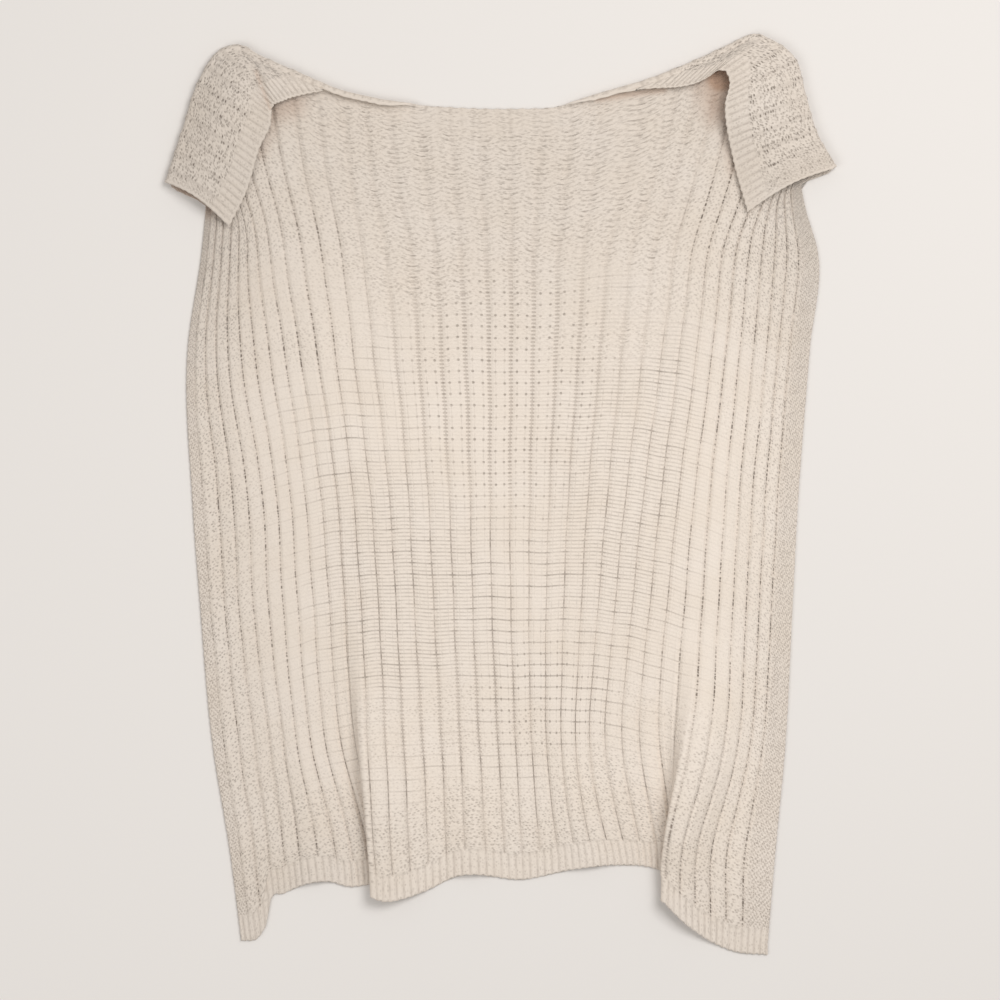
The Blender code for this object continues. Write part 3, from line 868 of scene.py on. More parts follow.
class MeshWriter:
    """Collects vertices and faces of one piece and makes its mesh."""

    def __init__(self) -> None:
        """Start with nothing."""
        self.points: list[np.ndarray] = []
        self.normals: list[np.ndarray] = []
        self.values: list[np.ndarray] = []
        self.count = 0
        self.faces: list[list[int]] = []
        self.quads: list[np.ndarray] = []

    def add(self, points: np.ndarray, normals: np.ndarray, values: np.ndarray) -> np.ndarray:
        """Add vertices.

        Args:
            points: Their places.
            normals: Their shading normals.
            values: Wale, course, then the masks in the order of MASKS.

        Returns:
            Their numbers.
        """
        numbers = np.arange(self.count, self.count + len(points))
        self.points.append(points)
        self.normals.append(normals)
        self.values.append(values)
        self.count += len(points)
        return numbers

    def polygon(self, corners: list[int]) -> None:
        """Add one face, without repeated corners.

        Args:
            corners: Vertex numbers in order.
        """
        kept = [c for i, c in enumerate(corners) if c != corners[i - 1]]
        if len(set(kept)) > 2:
            self.faces.append(kept)

    def grid(self, numbers: np.ndarray, flip: bool) -> None:
        """Add the faces of a grid of vertex numbers.

        Args:
            numbers: Vertex numbers by row and column.
            flip: Whether the faces look the other way.
        """
        a, b = numbers[:-1, :-1].ravel(), numbers[:-1, 1:].ravel()
        c, d = numbers[1:, 1:].ravel(), numbers[1:, :-1].ravel()
        quads = np.stack((a, d, c, b) if flip else (a, b, c, d), axis=1)
        ordered = np.sort(quads, axis=1)
        whole = (np.diff(ordered, axis=1) > 0).all(axis=1)
        self.quads.append(quads[whole])
        for quad in quads[~whole]:
            self.polygon([int(c) for c in quad])

    def mesh(self, name: str) -> bpy.types.Mesh:
        """Make the mesh with its knit coordinates and masks.

        Args:
            name: Its name.

        Returns:
            The mesh.
        """
        points = np.concatenate(self.points)
        normals = np.concatenate(self.normals)
        values = np.concatenate(self.values)
        quads = np.concatenate(self.quads)
        loops = np.concatenate((quads.ravel(), np.array([c for f in self.faces for c in f], int)))
        sizes = np.array([len(f) for f in self.faces], int)
        starts = np.concatenate((np.arange(len(quads)) * 4,
                                 len(quads) * 4 + np.cumsum(sizes) - sizes))
        mesh = bpy.data.meshes.new(name)
        mesh.vertices.add(len(points))
        mesh.vertices.foreach_set("co", points.astype(np.float32).ravel())
        mesh.loops.add(len(loops))
        mesh.loops.foreach_set("vertex_index", loops.astype(np.int32))
        mesh.polygons.add(len(starts))
        mesh.polygons.foreach_set("loop_start", starts.astype(np.int32))
        mesh.update(calc_edges=True)
        layer = mesh.uv_layers.new(name="knit")
        layer.data.foreach_set("uv", values[loops, :2].astype(np.float32).ravel())
        for column, mask in enumerate(MASKS, start=2):
            attribute = mesh.attributes.new(mask, "FLOAT", "POINT")
            attribute.data.foreach_set("value", values[:, column].astype(np.float32))
        mesh.validate(verbose=False)
        mesh.shade_smooth()
        mesh.normals_split_custom_set_from_vertices(normals.astype(np.float32))
        return mesh


@dataclass
class ThrowStrip:
    """One strip of the throw between two wales, closed on all sides."""

    name: str
    first: float
    last: float
    coarse_rows: int = 9
    coarse_columns: int = 7
    coarse_turned_rows: int = 4
    steep_hem: float = 0.130
    pleat_margin: float = 0.002

    def column_range(self, sheet: Sheet) -> tuple[int, int]:
        """Find the strip's first and last mesh column.

        Args:
            sheet: The laid cloth.

        Returns:
            The two numbers.
        """
        knit = sheet.lay.knit
        found = [int(np.argmin(np.abs(sheet.along - knit.place(w)))) for w in (self.first, self.last)]
        return found[0], found[1]

    def coarse(self, sheet: Sheet, start: int, end: int) -> list[int]:
        """Choose the columns of the hidden side: fewer on the flat, all in a pleat.

        Args:
            sheet: The laid cloth.
            start: The strip's first column.
            end: Its last column.

        Returns:
            Their numbers, increasing.
        """
        knit = sheet.lay.knit
        under, crest = sheet.lay.pleat_lengths()
        kept = set(range(start, end, self.coarse_columns)) | {start, end}
        for number in range(start, end + 1):
            here = sheet.along[number]
            for pleat in sheet.lay.pleats:
                first = knit.place(pleat.wale) - self.pleat_margin
                if first < here < first + under + pleat.back + crest + 2.0 * self.pleat_margin:
                    kept.add(number)
            if here < self.steep_hem:
                kept.add(number)
            if number > start and sheet.turned[number] != sheet.turned[number - 1]:
                kept |= {number - 1, number}
        return sorted(kept)

    def build(self, sheet: Sheet) -> bpy.types.Object:
        """Make the strip's mesh and object.

        Args:
            sheet: The laid cloth.

        Returns:
            The new object, linked to the scene.
        """
        start, end = self.column_range(sheet)
        columns = np.arange(start, end + 1)
        coarse = self.coarse(sheet, start, end)
        face_rows = sheet.panel_rows
        rows = len(sheet.under)
        writer = MeshWriter()
        front = np.full((rows, len(sheet.along)), -1)
        back = np.full((rows, len(sheet.along)), -1)
        low_rows = sorted(set(range(0, face_rows - 1, self.coarse_rows)) | {face_rows - 1})
        high_rows = sorted(set(range(face_rows - 1, rows, self.coarse_turned_rows)) | {rows - 1})

        def put(table: np.ndarray, face: Face, row_list: list[int], column_list: list[int]) -> None:
            """Add the vertices of some rows and columns of one surface.

            Args:
                table: Vertex numbers of the surface, filled here.
                face: Which surface it is.
                row_list: Rows to add.
                column_list: Columns to add.
            """
            r, c = np.meshgrid(row_list, column_list, indexing="ij")
            r, c = r.ravel(), c.ravel()
            fresh = table[r, c] < 0
            r, c = r[fresh], c[fresh]
            points = (sheet.front if face is Face.FRONT else sheet.back)[r, c]
            normals = (sheet.front_normal if face is Face.FRONT else sheet.back_normal)[r, c]
            values = np.column_stack((
                sheet.wale[r, c], sheet.course[r, c], sheet.border[r, c], sheet.moss[r, c],
                np.full(len(r), face.value), sheet.rim[r, c] * face.value,
                # the last value is the mask of painted shade
                (sheet.shelter if face is Face.FRONT else sheet.reverse_shelter)[r, c],
            ))
            table[r, c] = writer.add(points, normals, values)

        put(front, Face.FRONT, list(range(face_rows)), list(columns))
        put(back, Face.REVERSE, low_rows, coarse)
        put(back, Face.REVERSE, [face_rows - 1], list(columns))
        turned = [c for c in columns if sheet.turned[c]]
        if turned:
            put(back, Face.REVERSE, list(range(face_rows, rows)), turned)
            put(front, Face.FRONT, high_rows, [c for c in coarse if sheet.turned[c]])
        bend_end = face_rows + sheet.bend_rows - 2
        for column in columns:
            if not sheet.turned[column]:
                front[face_rows:, column] = front[face_rows - 1, column]
                back[face_rows:, column] = back[face_rows - 1, column]
            elif not sheet.folded[column]:
                back[bend_end:, column] = back[bend_end, column]
                if column in coarse:
                    past = [r for r in high_rows if r >= bend_end]
                    front[past, column] = front[past[0], column]
        writer.grid(front[:face_rows, start:end + 1], flip=False)
        lower = np.array(low_rows[:-1])
        writer.grid(back[np.ix_(lower, coarse)], flip=True)
        for a, b in zip(coarse[:-1], coarse[1:]):
            fine = list(range(a, b + 1))
            below = low_rows[-2]
            writer.polygon([back[below, b], back[below, a]] + [back[face_rows - 1, c] for c in fine])
            writer.polygon([front[0, c] for c in fine[::-1]] + [back[0, a], back[0, b]])
            if not (sheet.turned[a] or sheet.turned[b]):
                for c in fine[:-1]:
                    writer.polygon([
                        front[face_rows - 1, c], front[face_rows - 1, c + 1],
                        back[face_rows - 1, c + 1], back[face_rows - 1, c]])
                continue
            second = high_rows[1]
            writer.polygon([front[face_rows - 1, c] for c in fine] + [front[second, b], front[second, a]])
            writer.polygon([front[rows - 1, a], front[rows - 1, b]] + [back[rows - 1, c] for c in fine[::-1]])
            upper = np.array(high_rows[1:])
            writer.grid(front[np.ix_(upper, [a, b])], flip=False)
            writer.grid(back[face_rows - 1:, a:b + 1], flip=True)
        for column, outward in ((start, True), (end, False)):
            self.close_side(writer, front[:, column], back[:, column], low_rows, high_rows, outward)
        mesh = writer.mesh(self.name)
        piece = bpy.data.objects.new(self.name, mesh)
        bpy.context.scene.collection.objects.link(piece)
        return piece

    def close_side(
        self, writer: MeshWriter, front: np.ndarray, back: np.ndarray,
        low_rows: list[int], high_rows: list[int], outward: bool,
    ) -> None:
        """Close one long side of the strip.

        Args:
            writer: The piece's mesh.
            front: Vertex numbers of the front's edge column.
            back: Vertex numbers of the back's edge column.
            low_rows: Rows that the back has on the face.
            high_rows: Rows that the front has past the face.
            outward: Whether this is the strip's first side.
        """
        for a, b in zip(low_rows[:-1], low_rows[1:]):
            ring = [int(front[r]) for r in range(a, b + 1)] + [int(back[b]), int(back[a])]
            writer.polygon(ring[::-1] if not outward else ring)
        for a, b in zip(high_rows[:-1], high_rows[1:]):
            ring = [int(front[a]), int(front[b])] + [int(back[r]) for r in range(b, a - 1, -1)]
            writer.polygon(ring[::-1] if not outward else ring)


class Value:
    """A value in a shader tree, reckoned with like a number."""

    def __init__(self, nodes: "Nodes", socket: bpy.types.NodeSocket) -> None:
        """Keep the socket and the helper of its tree."""
        self.nodes = nodes
        self.socket = socket

    def __add__(self, other: "Term") -> "Value":
        """Sum with another value."""
        return self.nodes.math("ADD", self, other)

    def __sub__(self, other: "Term") -> "Value":
        """What is left without another value."""
        return self.nodes.math("SUBTRACT", self, other)

    def __rsub__(self, other: float) -> "Value":
        """What is left of a number without this value."""
        return self.nodes.math("SUBTRACT", other, self)

    def __mul__(self, other: "Term") -> "Value":
        """Product with another value."""
        return self.nodes.math("MULTIPLY", self, other)

    def __truediv__(self, other: "Term") -> "Value":
        """Share of another value."""
        return self.nodes.math("DIVIDE", self, other)

    def __or__(self, other: "Value") -> "Value":
        """The larger of two values."""
        return self.nodes.math("MAXIMUM", self, other)

    def gain(self, factor: "Term", offset: "Term", clamp: bool = False) -> "Value":
        """The value times a factor, plus an offset, held between 0 and 1 if asked."""
        return self.nodes.math("MULTIPLY_ADD", self, factor, offset, clamp=clamp)

    def blend(self, first: "Term", second: "Term") -> "Value":
        """The first term where this is 0, the second where it is 1."""
        return self.gain(second - first, first)

    def size(self) -> "Value":
        """The value without its sign."""
        return self.nodes.math("ABSOLUTE", self)

    def off_line(self) -> "Value":
        """Distance from the nearest whole number."""
        return self.nodes.math("PINGPONG", self, 0.5)

    def length(self, other: "Value") -> "Value":
        """Length of the plan vector that this and another value make."""
        return self.nodes.math("SQRT", self * self + other * other)

    def fall(self, low: float, high: float) -> "Value":
        """1 below low, 0 above high, smooth between."""
        given = {"Value": self, "From Min": low, "From Max": high, "To Min": 1.0, "To Max": 0.0}
        return self.nodes.value("ShaderNodeMapRange", given, interpolation_type="SMOOTHSTEP")

    def rise(self, low: float, high: float) -> "Value":
        """0 below low, 1 above high, smooth between."""
        return 1.0 - self.fall(low, high)


Term = Value | float
Given = dict[int | str, object]
Colour = tuple[float, float, float]
Zone = tuple[float, float, float, float]


class Nodes:
    """Short helper that places and joins shader nodes in a tree."""

    def __init__(self, tree: bpy.types.NodeTree) -> None:
        """Keep the tree."""
        self.tree = tree

    def new(self, kind: str, given: Given | None = None, **settings: object) -> bpy.types.Node:
        """Add a node.

        Args:
            kind: Blender's name of its kind.
            given: What its inputs take, by their names or numbers.
            settings: Its properties.

        Returns:
            The node.
        """
        node = self.tree.nodes.new(kind)
        for key, setting in settings.items():
            setattr(node, key, setting)
        for key, source in (given or {}).items():
            self.link(source, node.inputs[key])
        return node

    def link(self, source: object, target: bpy.types.NodeSocket) -> None:
        """Feed an input.

        Args:
            source: A value or socket that is joined to it, or a number or colour that it is set to.
            target: The input.
        """
        if isinstance(source, Value):
            source = source.socket
        if isinstance(source, bpy.types.NodeSocket):
            self.tree.links.new(source, target)
        else:
            target.default_value = source

    def value(self, kind: str, given: Given, **settings: object) -> Value:
        """The first output of a new node."""
        return Value(self, self.new(kind, given, **settings).outputs[0])

    def math(self, operation: str, *terms: Term, clamp: bool = False) -> Value:
        """One Math node, held between 0 and 1 if asked."""
        given = dict(enumerate(terms))
        return self.value("ShaderNodeMath", given, operation=operation, use_clamp=clamp)

    def mix(
        self, factor: Term, first: object, second: object, how: str = "MIX"
    ) -> bpy.types.NodeSocket:
        """Blend two colours.

        Args:
            factor: Share of the second.
            first: A socket, or red, green and blue.
            second: The same.
            how: Blender's name of the blend.

        Returns:
            The blended colour.
        """
        first, second = ((*c, 1.0) if isinstance(c, tuple) else c for c in (first, second))
        given = {0: factor, 6: first, 7: second}
        return self.new("ShaderNodeMix", given, data_type="RGBA", blend_type=how).outputs[2]

    def group(self, tree: bpy.types.NodeTree, given: Given) -> dict[str, Value]:
        """Place a node group.

        Args:
            tree: The group's tree.
            given: Its inputs by name.

        Returns:
            Its outputs by name.
        """
        node = self.new("ShaderNodeGroup", None, node_tree=tree)
        for label, source in given.items():
            self.link(source, node.inputs[label])
        return {socket.name: Value(self, socket) for socket in node.outputs}


@dataclass
class KnitPattern:
    """Stitches of the cloth as painted shade in its holes and grooves, and height of its yarn.

    Attributes:
        wale: Wale coordinate, whole at each ladder between the ribs.
        course: Course coordinate, whole at each row of dots.
        middle: Wale in the middle of the cloth.
        dot_place: Distance of the outer dots from the ladders, in wales.
        dotted: Wale, course and two half sizes of the oval with open ladders and clear dots.
        hem_dotted: The same of a smaller oval above the hem.
        pulled: Ovals below the folded corners, where the ladders are pulled open.
        runged: Ovals where bars cross the ladders.
        fine: Ovals where each course shows as a fine line.
    """

    wale: Value
    course: Value
    middle: float = 17.5
    dot_place: float = 0.29
    dotted: Zone = (18.0, 43.5, 7.5, 19.0)
    hem_dotted: Zone = (20.0, 16.0, 7.0, 9.0)
    pulled: tuple[Zone, ...] = ((7.5, 54.0, 6.5, 17.0), (28.0, 59.0, 4.5, 13.0))
    runged: tuple[Zone, ...] = ((18.0, 44.0, 9.0, 17.0), (14.5, 15.0, 7.0, 10.0))
    fine: tuple[Zone, ...] = ((24.0, 38.0, 7.0, 24.0), (12.0, 26.0, 7.0, 16.0))

    def __post_init__(self) -> None:
        """Prepare the distances, the uneven strengths and the parts of the cloth."""
        self.from_ladder = self.wale.off_line()
        self.from_dot = (self.from_ladder - self.dot_place).size()
        self.from_row = self.course.off_line()
        self.courses = self.course * 3.0
        self.from_course = self.courses.off_line()
        self.nodes = self.wale.nodes
        both = {0: self.wale, 1: self.course}
        self.place = self.nodes.new("ShaderNodeCombineXYZ", both).outputs[0]
        self.patch = self.noise((0.22, 0.16), 2.4, -0.70)
        self.streak = self.noise((0.55, 1.90), 2.8, -0.90)
        self.grain = self.noise((2.10, 2.40), 2.6, -0.60)
        from_middle = (self.wale - self.middle).size()
        self.side = from_middle.rise(7.0, 13.0)
        self.selvage_side = from_middle.rise(11.5, 17.5)
        wavy = self.patch.gain(11.0, self.course - 5.5)
        self.upper = wavy.rise(42.0, 58.0)
        self.lower = wavy.fall(3.0, 21.0)
        self.plain = (1.0 - self.upper) * (1.0 - self.lower)
        self.clear_dots = self.oval(self.dotted)
        self.open_ladders = self.oval(*self.pulled)
        self.beaded = self.side | self.open_ladders

    def noise(self, scale: tuple[float, float], factor: float, offset: float) -> Value:
        """Uneven strength, held between 0 and 1.

        Args:
            scale: Its changes for each wale and for each course repeat.
            factor: Factor of the plain noise.
            offset: Number added to it.

        Returns:
            The strength.
        """
        given = {0: self.place, 1: (*scale, 1.0)}
        stretched = self.nodes.new("ShaderNodeVectorMath", given, operation="MULTIPLY").outputs[0]
        given = {"Vector": stretched, "Scale": 1.0, "Detail": 2.0}
        noise = self.nodes.new("ShaderNodeTexNoise", given, noise_dimensions="2D")
        return Value(self.nodes, noise.outputs["Fac"]).gain(factor, offset, clamp=True)

    def cells(
        self, scale: tuple[float, float], loose: float, lean: float = 0.0
    ) -> tuple[Value, Value]:
        """Scattered stitch holes.

        Args:
            scale: Holes for each wale and for each course repeat.
            loose: How far they stray from an even grid, from 0 to 1.
            lean: Angle that they lean at, in radians.

        Returns:
            Distance from the nearest hole, and a chance value for each hole.
        """
        across, along = scale
        given = {
            "Vector": self.place, "Rotation": (0.0, 0.0, lean),
            "Scale": (1.0 / across, 1.0 / along, 1.0),
        }
        stretched = self.nodes.new("ShaderNodeMapping", given, vector_type="TEXTURE").outputs[0]
        given = {"Vector": stretched, "Scale": 1.0, "Randomness": loose}
        cells = self.nodes.new("ShaderNodeTexVoronoi", given, voronoi_dimensions="2D", feature="F1")
        chance = self.nodes.value("ShaderNodeSeparateColor", {0: cells.outputs["Color"]})
        return Value(self.nodes, cells.outputs["Distance"]), chance

    def oval(self, *zones: Zone) -> Value:
        """Parts of the cloth.

        Args:
            zones: Wale, course, half width and half height of each.

        Returns:
            1 in their middles, fading to 0 at their rims.
        """
        shares = []
        for wale, course, width, height in zones:
            far = ((self.wale - wale) / width).length((self.course - course) / height)
            shares.append(far.fall(0.35, 1.0))
        return reduce(or_, shares)

    def ladders(self) -> Value:
        """Narrow dark lines between the ribs, beaded towards the sides.

        Returns:
            Darkness of their pits.
        """
        width = self.from_ladder / self.open_ladders.gain(0.22, self.side.gain(0.30, 1.0))
        spaced = self.grain.gain(0.9, self.course * 2.6)
        beads = spaced.off_line().fall(0.10, 0.40) * self.streak.gain(0.80, 0.45)
        broken = self.beaded.blend(self.streak.gain(0.45, 0.55), beads.gain(1.15, 0.20))
        strength = self.open_ladders.gain(0.06, self.patch.gain(0.70, 0.42))
        hidden = (self.upper * (1.0 - self.beaded)).blend(1.0, 0.10)
        quiet = self.clear_dots.blend(1.0, 0.62)
        return width.fall(0.010, 0.048) * broken * (strength * hidden * quiet)

    def dots(self) -> Value:
        """Three dots across each rib at every third course.

        Returns:
            Darkness of their pits.
        """
        beside = (self.from_dot / 0.072).length(self.from_row / 0.125)
        middle = (self.from_ladder / 0.095).length(self.from_row / 0.115)
        dots = beside.fall(0.30, 1.20) | middle.fall(0.30, 1.20)
        clear = self.clear_dots | self.oval(self.hem_dotted)
        clear = clear | self.upper * 0.40 | self.lower * 0.50
        return dots * clear.gain(0.85, 0.10) * self.grain.gain(0.75, 0.22)

    def rungs(self) -> Value:
        """Short bars of the open ladders in the middle of the cloth."""
        bars = self.from_ladder.fall(0.060, 0.125) * self.from_course.fall(0.08, 0.36)
        return bars * (self.oval(*self.runged) | self.lower * 0.5).gain(0.50, 0.08)

    def rows(self) -> Value:
        """Fine lines of the rows and courses over the middle of the cloth.

        Returns:
            Darkness of their pits.
        """
        knots = self.from_ladder.fall(0.06, 0.20).gain(0.30, 0.10)
        row = self.from_row.fall(0.020, 0.080) * self.streak.gain(0.50, knots)
        row = row * self.clear_dots.blend(1.0, 0.35)
        fine = self.from_course.fall(0.06, 0.26) * self.oval(*self.fine).gain(0.30, 0.08)
        fine = fine * self.grain.gain(0.8, 0.3)
        wales = self.from_dot.fall(0.004, 0.040) * self.streak.gain(0.22, 0.05)
        return (row | fine | wales) * self.plain * self.beaded.blend(1.0, 0.22)

    def scallops(self) -> Value:
        """Shallow arcs between the ribs in the upper part.

        Returns:
            Darkness of their pits.
        """
        bow = self.from_ladder / 0.34
        lift = self.grain.gain(0.35, self.course * 2.0)
        arcs = (bow * bow).gain(-0.40, lift).off_line().fall(0.04, 0.22)
        shown = self.from_ladder.fall(0.18, 0.44).gain(0.48, 0.50)
        shown = shown * self.noise((4.2, 5.2), 3.4, -1.15)
        where = (self.upper | self.lower * 0.35) * (1.0 - self.beaded * 0.85)
        return arcs * shown * where.gain(0.53, 0.03) * self.grain.gain(1.10, 0.25)

    def stipple(self) -> Value:
        """Scattered small holes, dense towards the sides and the hem.

        Returns:
            Darkness of their pits.
        """
        far, chance = self.cells((4.4, 4.8), 0.90, 0.5)
        holes = far.fall(0.10, 0.44) * chance.gain(0.9, 0.1)
        where = self.selvage_side | self.lower * 0.85 | self.upper * self.side.gain(0.45, 0.60)
        return holes * where.gain(0.66, 0.09)

    def face(self) -> tuple[Value, Value]:
        """All stitches of the face.

        Returns:
            Darkness of the pits, and height.
        """
        # painted shade in the stitch holes, ladders and grooves
        pits = self.ladders() | self.dots() | self.rungs()
        pits = pits | self.rows() | self.scallops() | self.stipple()
        yarn = (self.wale * 6.0).off_line().gain(0.55, self.courses).off_line()
        return pits, yarn.gain(0.50, pits * -1.3)

    def reverse(self) -> tuple[Value, Value]:
        """Stitches of the reverse side.

        Returns:
            Darkness of the pits, and height.
        """
        far, chance = self.cells((3.4, 4.3), 0.75)
        banded = self.from_ladder.fall(0.10, 0.40).gain(0.65, 0.65)
        holes = far.fall(0.12, 0.42) * chance.rise(0.35, 0.95) * banded
        far, chance = self.cells((7.4, 3.8), 0.95, 0.4)
        fine = far.fall(0.10, 0.52) * (chance * 0.86)
        pits = holes | fine | self.from_ladder.fall(0.02, 0.16) * 0.24
        purl = self.from_course * (self.wale * 6.0).off_line()
        return pits, purl.gain(1.6, pits * -1.2)

    def border(self) -> tuple[Value, Value]:
        """Narrow ribs of the borders.

        Returns:
            Darkness of the pits, and height.
        """
        line = (self.wale * 2.5).off_line()
        far, chance = self.cells((7.0, 3.4), 0.85)
        holes = far.fall(0.10, 0.48) * (chance * 0.42)
        groove = line.fall(0.02, 0.22) * self.streak.gain(0.30, 0.20)
        return groove | holes, line.fall(0.0, 0.3).gain(-0.6, holes * -0.8)

    def moss(self) -> tuple[Value, Value]:
        """Moss stitch in the side margins.

        Returns:
            Darkness of the pits, and height.
        """
        across = self.nodes.math("SINE", self.wale * (8.6 * math.pi))
        chequer = across * self.nodes.math("SINE", self.course * (4.4 * math.pi))
        pits = chequer.fall(-0.80, 0.0) * self.grain.gain(0.55, 0.12)
        far, chance = self.cells((7.5, 5.0), 0.95, 0.3)
        return pits | far.fall(0.12, 0.52) * (chance * 0.92), chequer * 0.6


@dataclass
class ShaderGroup:
    """A reusable shader node group with named inputs and outputs."""

    name: str
    inputs: tuple[tuple[str, float], ...]
    outputs: tuple[str, ...]

    def start(self) -> tuple[Nodes, dict[str, Value], bpy.types.Node]:
        """Make the empty group.

        Returns:
            A helper of its tree, the values that come in and the output node.
        """
        tree = bpy.data.node_groups.new(self.name, "ShaderNodeTree")
        kind = "NodeSocketFloat"
        for label, default in self.inputs:
            socket = tree.interface.new_socket(label, in_out="INPUT", socket_type=kind)
            socket.default_value = default
        for label in self.outputs:
            tree.interface.new_socket(label, in_out="OUTPUT", socket_type=kind)
        nodes = Nodes(tree)
        entry = nodes.new("NodeGroupInput").outputs
        given = {label: Value(nodes, entry[label]) for label, _ in self.inputs}
        return nodes, given, nodes.new("NodeGroupOutput")


@dataclass
class StitchGroup(ShaderGroup):
    """The stitches of both sides of the cloth, with its borders and margins, the painted shade in their holes
    and the painted shade of the drape.
    """

    name: str = "knit_stitches"
    inputs: tuple[tuple[str, float], ...] = (
        ("Wale", 0.0), ("Course", 0.0), ("Border", 0.0), ("Moss", 0.0), ("Reverse", 0.0),
        ("Rim", 0.0),
    )
    outputs: tuple[str, ...] = ("Pits", "Height", "Tone")

    def build(self) -> bpy.types.NodeTree:
        """Fill the group.

        Returns:
            Its tree.
        """
        nodes, given, result = self.start()
        pattern = KnitPattern(given["Wale"], given["Course"])
        pits, height = pattern.face()
        turned = given["Reverse"] * given["Moss"].gain(-0.5, 1.0)
        for share, (more_pits, more_height) in (
            (given["Moss"], pattern.moss()), (turned, pattern.reverse()),
            (given["Border"], pattern.border()),
        ):
            pits = share.blend(pits, more_pits)
            height = share.blend(height, more_height)
        clear = 1.0 - given["Rim"]
        nodes.link(pits * clear, result.inputs["Pits"])
        nodes.link(height * clear, result.inputs["Height"])
        nodes.link(self.tone(given), result.inputs["Tone"])
        return nodes.tree

    @staticmethod
    def tone(given: dict[str, Value]) -> Value:
        """Painted shade of the drape: darker to the sides, at the top and at the hem.

        Args:
            given: The values that come into the group.

        Returns:
            The factor of the yarn's colour.
        """
        wale, course = given["Wale"], given["Course"]
        # painted shade: darker to the left and right, at the top with the folded corners and at the hem; the
        # reverse a little lighter
        sides = wale.fall(0.0, 14.0) * -0.095 + wale.rise(29.0, 36.0) * -0.035
        ends = course.rise(38.0, 66.0) * -0.125 + course.fall(0.0, 9.0) * -0.055
        return sides + ends + given["Reverse"] * 0.015 + 1.0


@dataclass
class FibreGroup(ShaderGroup):
    """The fine fibres and the slow unevenness of spun cotton."""

    name: str = "cotton_fibre"
    inputs: tuple[tuple[str, float], ...] = (("Fine Scale", 700.0), ("Slow Scale", 9.0))
    outputs: tuple[str, ...] = ("Fibre", "Drift")

    def build(self) -> bpy.types.NodeTree:
        """Fill the group.

        Returns:
            Its tree.
        """
        nodes, given, result = self.start()
        place = nodes.new("ShaderNodeTexCoord").outputs["Object"]
        for scale, label, detail in (("Fine Scale", "Fibre", 2.0), ("Slow Scale", "Drift", 3.0)):
            inputs = {"Vector": place, "Scale": given[scale], "Detail": detail}
            noise = nodes.new("ShaderNodeTexNoise", inputs)
            nodes.link(noise.outputs["Fac"], result.inputs[label])
        return nodes.tree


@dataclass(frozen=True)
class YarnFinish:
    """Warm off-white cotton yarn, matte, a little hairy, with painted shade in its stitch holes, over the
    drape and inside the folds.
    """

    light: Colour = (0.790, 0.705, 0.625)
    warm: Colour = (0.765, 0.672, 0.580)
    # colour of the painted shade in the stitch holes and grooves
    pit: Colour = (0.250, 0.198, 0.160)
    # colour of the painted shade inside the folded corners and along the crease
    shelter: Colour = (0.440, 0.290, 0.205)
    pit_strength: float = 0.72
    shelter_strength: float = 0.94
    roughness: float = 0.92
    sheen: float = 0.20
    bump_depth: float = 0.0011

    def build(self) -> bpy.types.Material:
        """Make the yarn's material.

        Returns:
            The material.
        """
        material = bpy.data.materials.new("cotton_yarn")
        material.use_nodes = True
        nodes = Nodes(material.node_tree)
        knit = nodes.new("ShaderNodeUVMap", uv_map="knit").outputs[0]
        parts = nodes.new("ShaderNodeSeparateXYZ", {0: knit}).outputs
        masks = {}
        for mask in MASKS:
            fac = nodes.new("ShaderNodeAttribute", attribute_name=mask).outputs["Fac"]
            masks[mask.capitalize()] = Value(nodes, fac)
        # mask of painted shade under the folded corners
        shelter = masks.pop("Shelter")
        given = {"Wale": parts[0], "Course": parts[1], **masks}
        stitch = nodes.group(StitchGroup().build(), given)
        fibre = nodes.group(FibreGroup().build(), {})
        colour = nodes.mix(fibre["Drift"].gain(2.2, -0.6, clamp=True), self.light, self.warm)
        # painted shade in the stitch holes and grooves
        dark = nodes.math("MULTIPLY", stitch["Pits"], self.pit_strength, clamp=True)
        colour = nodes.mix(dark, colour, self.pit)
        # fibre unevenness times the painted shade of the drape
        tone = fibre["Fibre"].gain(0.24, 0.88) * stitch["Tone"]
        grey = nodes.new("ShaderNodeCombineColor", {0: tone, 1: tone, 2: tone}).outputs[0]
        colour = nodes.mix(1.0, colour, grey, "MULTIPLY")
        # painted shade inside the folds
        colour = nodes.mix(shelter * self.shelter_strength, colour, self.shelter)
        height = fibre["Fibre"].gain(0.25, stitch["Height"])
        given = {"Strength": 1.0, "Distance": self.bump_depth, "Height": height}
        bump = nodes.new("ShaderNodeBump", given).outputs[0]
        shader = material.node_tree.nodes["Principled BSDF"]
        for label, source in (
            ("Base Color", colour), ("Normal", bump), ("Roughness", self.roughness),
            ("Sheen Weight", self.sheen), ("Sheen Roughness", 0.5), ("Specular IOR Level", 0.2),
        ):
            nodes.link(source, shader.inputs[label])
        return material


@dataclass
class Throw:
    """The whole throw: six strips of one laid sheet."""

    sheet: Sheet = field(default_factory=Sheet)
    finish: YarnFinish = field(default_factory=YarnFinish)
    strips: tuple[ThrowStrip, ...] = (
        ThrowStrip("throw_left_side", -0.7, 6.0),
        ThrowStrip("throw_left_pleat", 6.0, 12.0),
        ThrowStrip("throw_left_middle", 12.0, 18.0),
        ThrowStrip("throw_right_middle", 18.0, 24.0),
        ThrowStrip("throw_right_pleat", 24.0, 30.0),
        ThrowStrip("throw_right_side", 30.0, 35.7),
    )

    def build(self) -> list[bpy.types.Object]:
        """Make, dress and attach every strip.

        Returns:
            The pieces.
        """
        material = self.finish.build()
        pieces = []
        for strip in self.strips:
            piece = strip.build(self.sheet)
            piece.data.materials.append(material)
            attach(piece, "root")
            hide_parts("blanket")
            LOG.info("%s: %d faces", strip.name, len(piece.data.polygons))
            pieces.append(piece)
        return pieces


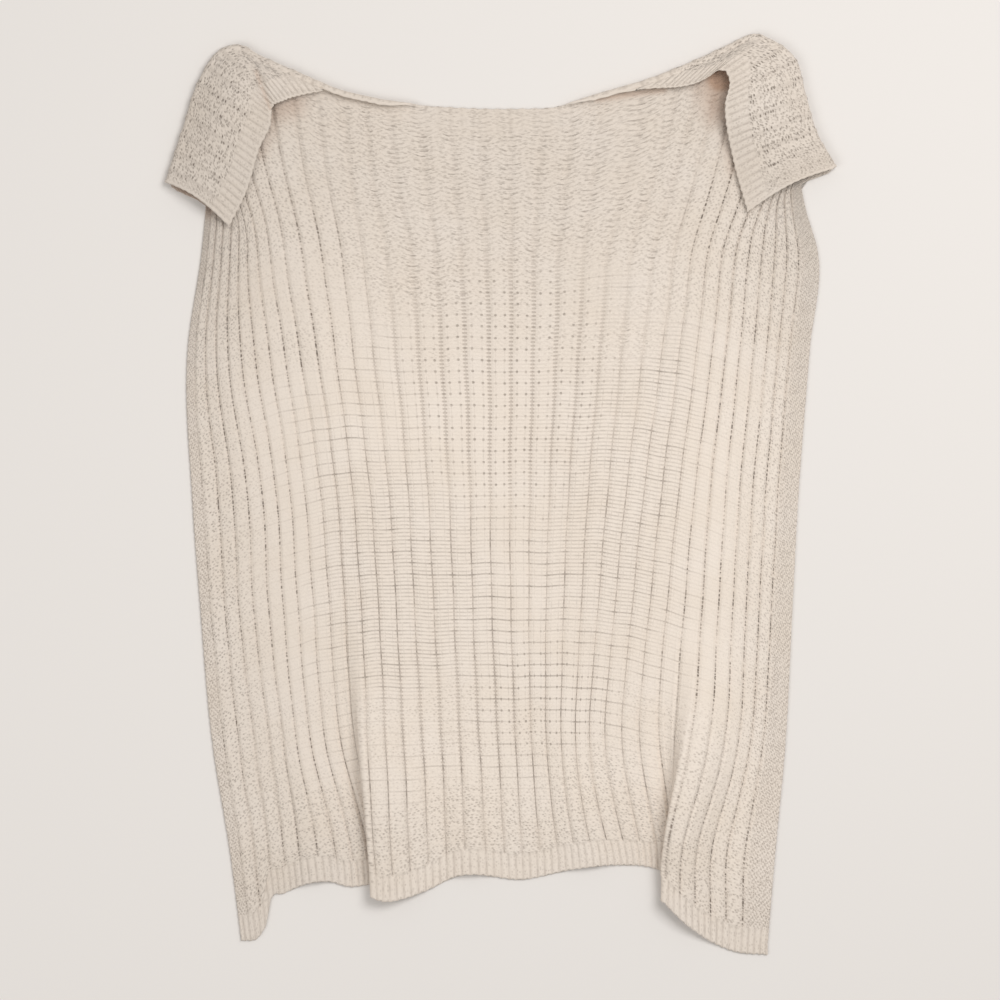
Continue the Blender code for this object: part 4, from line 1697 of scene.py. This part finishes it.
@dataclass
class Studio:
    """Pale floor, soft light and the camera above the throw."""

    floor_size: float = 14.0
    floor_gap: float = 0.0004
    floor_colour: Colour = (0.746, 0.712, 0.682)
    metres_per_pixel: float = 0.0019
    centre: tuple[float, float] = (-0.001, -0.0107)
    camera_height: float = 8.0
    sensor: float = 36.0

    def build_floor(self) -> bpy.types.Object:
        """Make a level pale floor.

        Returns:
            The floor.
        """
        mesh = bpy.data.meshes.new("pale_floor")
        h, z = 0.5 * self.floor_size, -self.floor_gap
        corners = [(-h, -h, z), (h, -h, z), (h, h, z), (-h, h, z)]
        mesh.from_pydata(corners, [], [(0, 1, 2, 3)])
        floor = bpy.data.objects.new("pale_floor", mesh)
        bpy.context.scene.collection.objects.link(floor)
        material = bpy.data.materials.new("pale_floor")
        material.use_nodes = True
        shader = material.node_tree.nodes["Principled BSDF"]
        shader.inputs["Base Color"].default_value = (*self.floor_colour, 1.0)
        shader.inputs["Roughness"].default_value = 0.9
        shader.inputs["Specular IOR Level"].default_value = 0.1
        mesh.materials.append(material)
        return floor

    def add_light(
        self, name: str, place: tuple[float, float, float], size: float, power: float
    ) -> bpy.types.Object:
        """One square soft light that looks at the throw.

        Args:
            name: Its name.
            place: Where it stands.
            size: Length of its side.
            power: Its power in watts.

        Returns:
            The light.
        """
        data = bpy.data.lights.new(name, "AREA")
        data.shape = "SQUARE"
        data.size = size
        data.energy = power
        light = bpy.data.objects.new(name, data)
        light.location = place
        light.rotation_euler = (-Vector(place)).to_track_quat("-Z", "Y").to_euler()
        bpy.context.scene.collection.objects.link(light)
        return light

    def build_lights(self) -> None:
        """A large key from the upper right, a fill and a pale world."""
        self.add_light("soft_key", (2.2, 1.8, 4.8), 3.0, 180.0)
        self.add_light("soft_fill", (-3.0, -1.4, 4.4), 3.0, 70.0)
        world = bpy.data.worlds.new("studio")
        world.use_nodes = True
        background = world.node_tree.nodes["Background"]
        background.inputs["Color"].default_value = (1.0, 0.985, 0.96, 1.0)
        background.inputs["Strength"].default_value = 0.475
        bpy.context.scene.world = world

    def build_camera(self) -> bpy.types.Object:
        """Put the camera straight above, framed as the photograph.

        Returns:
            The camera.
        """
        data = bpy.data.cameras.new("camera")
        data.sensor_width = self.sensor
        data.lens = self.sensor * self.camera_height / (1000.0 * self.metres_per_pixel)
        data.clip_end = 100.0
        camera = bpy.data.objects.new("camera", data)
        camera.location = (*self.centre, self.camera_height)
        bpy.context.scene.collection.objects.link(camera)
        bpy.context.scene.camera = camera
        return camera


def main() -> None:
    """Build the studio and the throw, in order."""
    logging.basicConfig(level=logging.INFO, format="%(name)s %(message)s")
    bpy.context.scene.view_settings.view_transform = "Standard"
    studio = Studio()
    studio.build_camera()
    LOG.info("camera placed")
    studio.build_floor()
    studio.build_lights()
    LOG.info("floor and lights placed")
    pieces = Throw().build()
    LOG.info("throw made of %d strips", len(pieces))


if __name__ == "__main__":
    main()
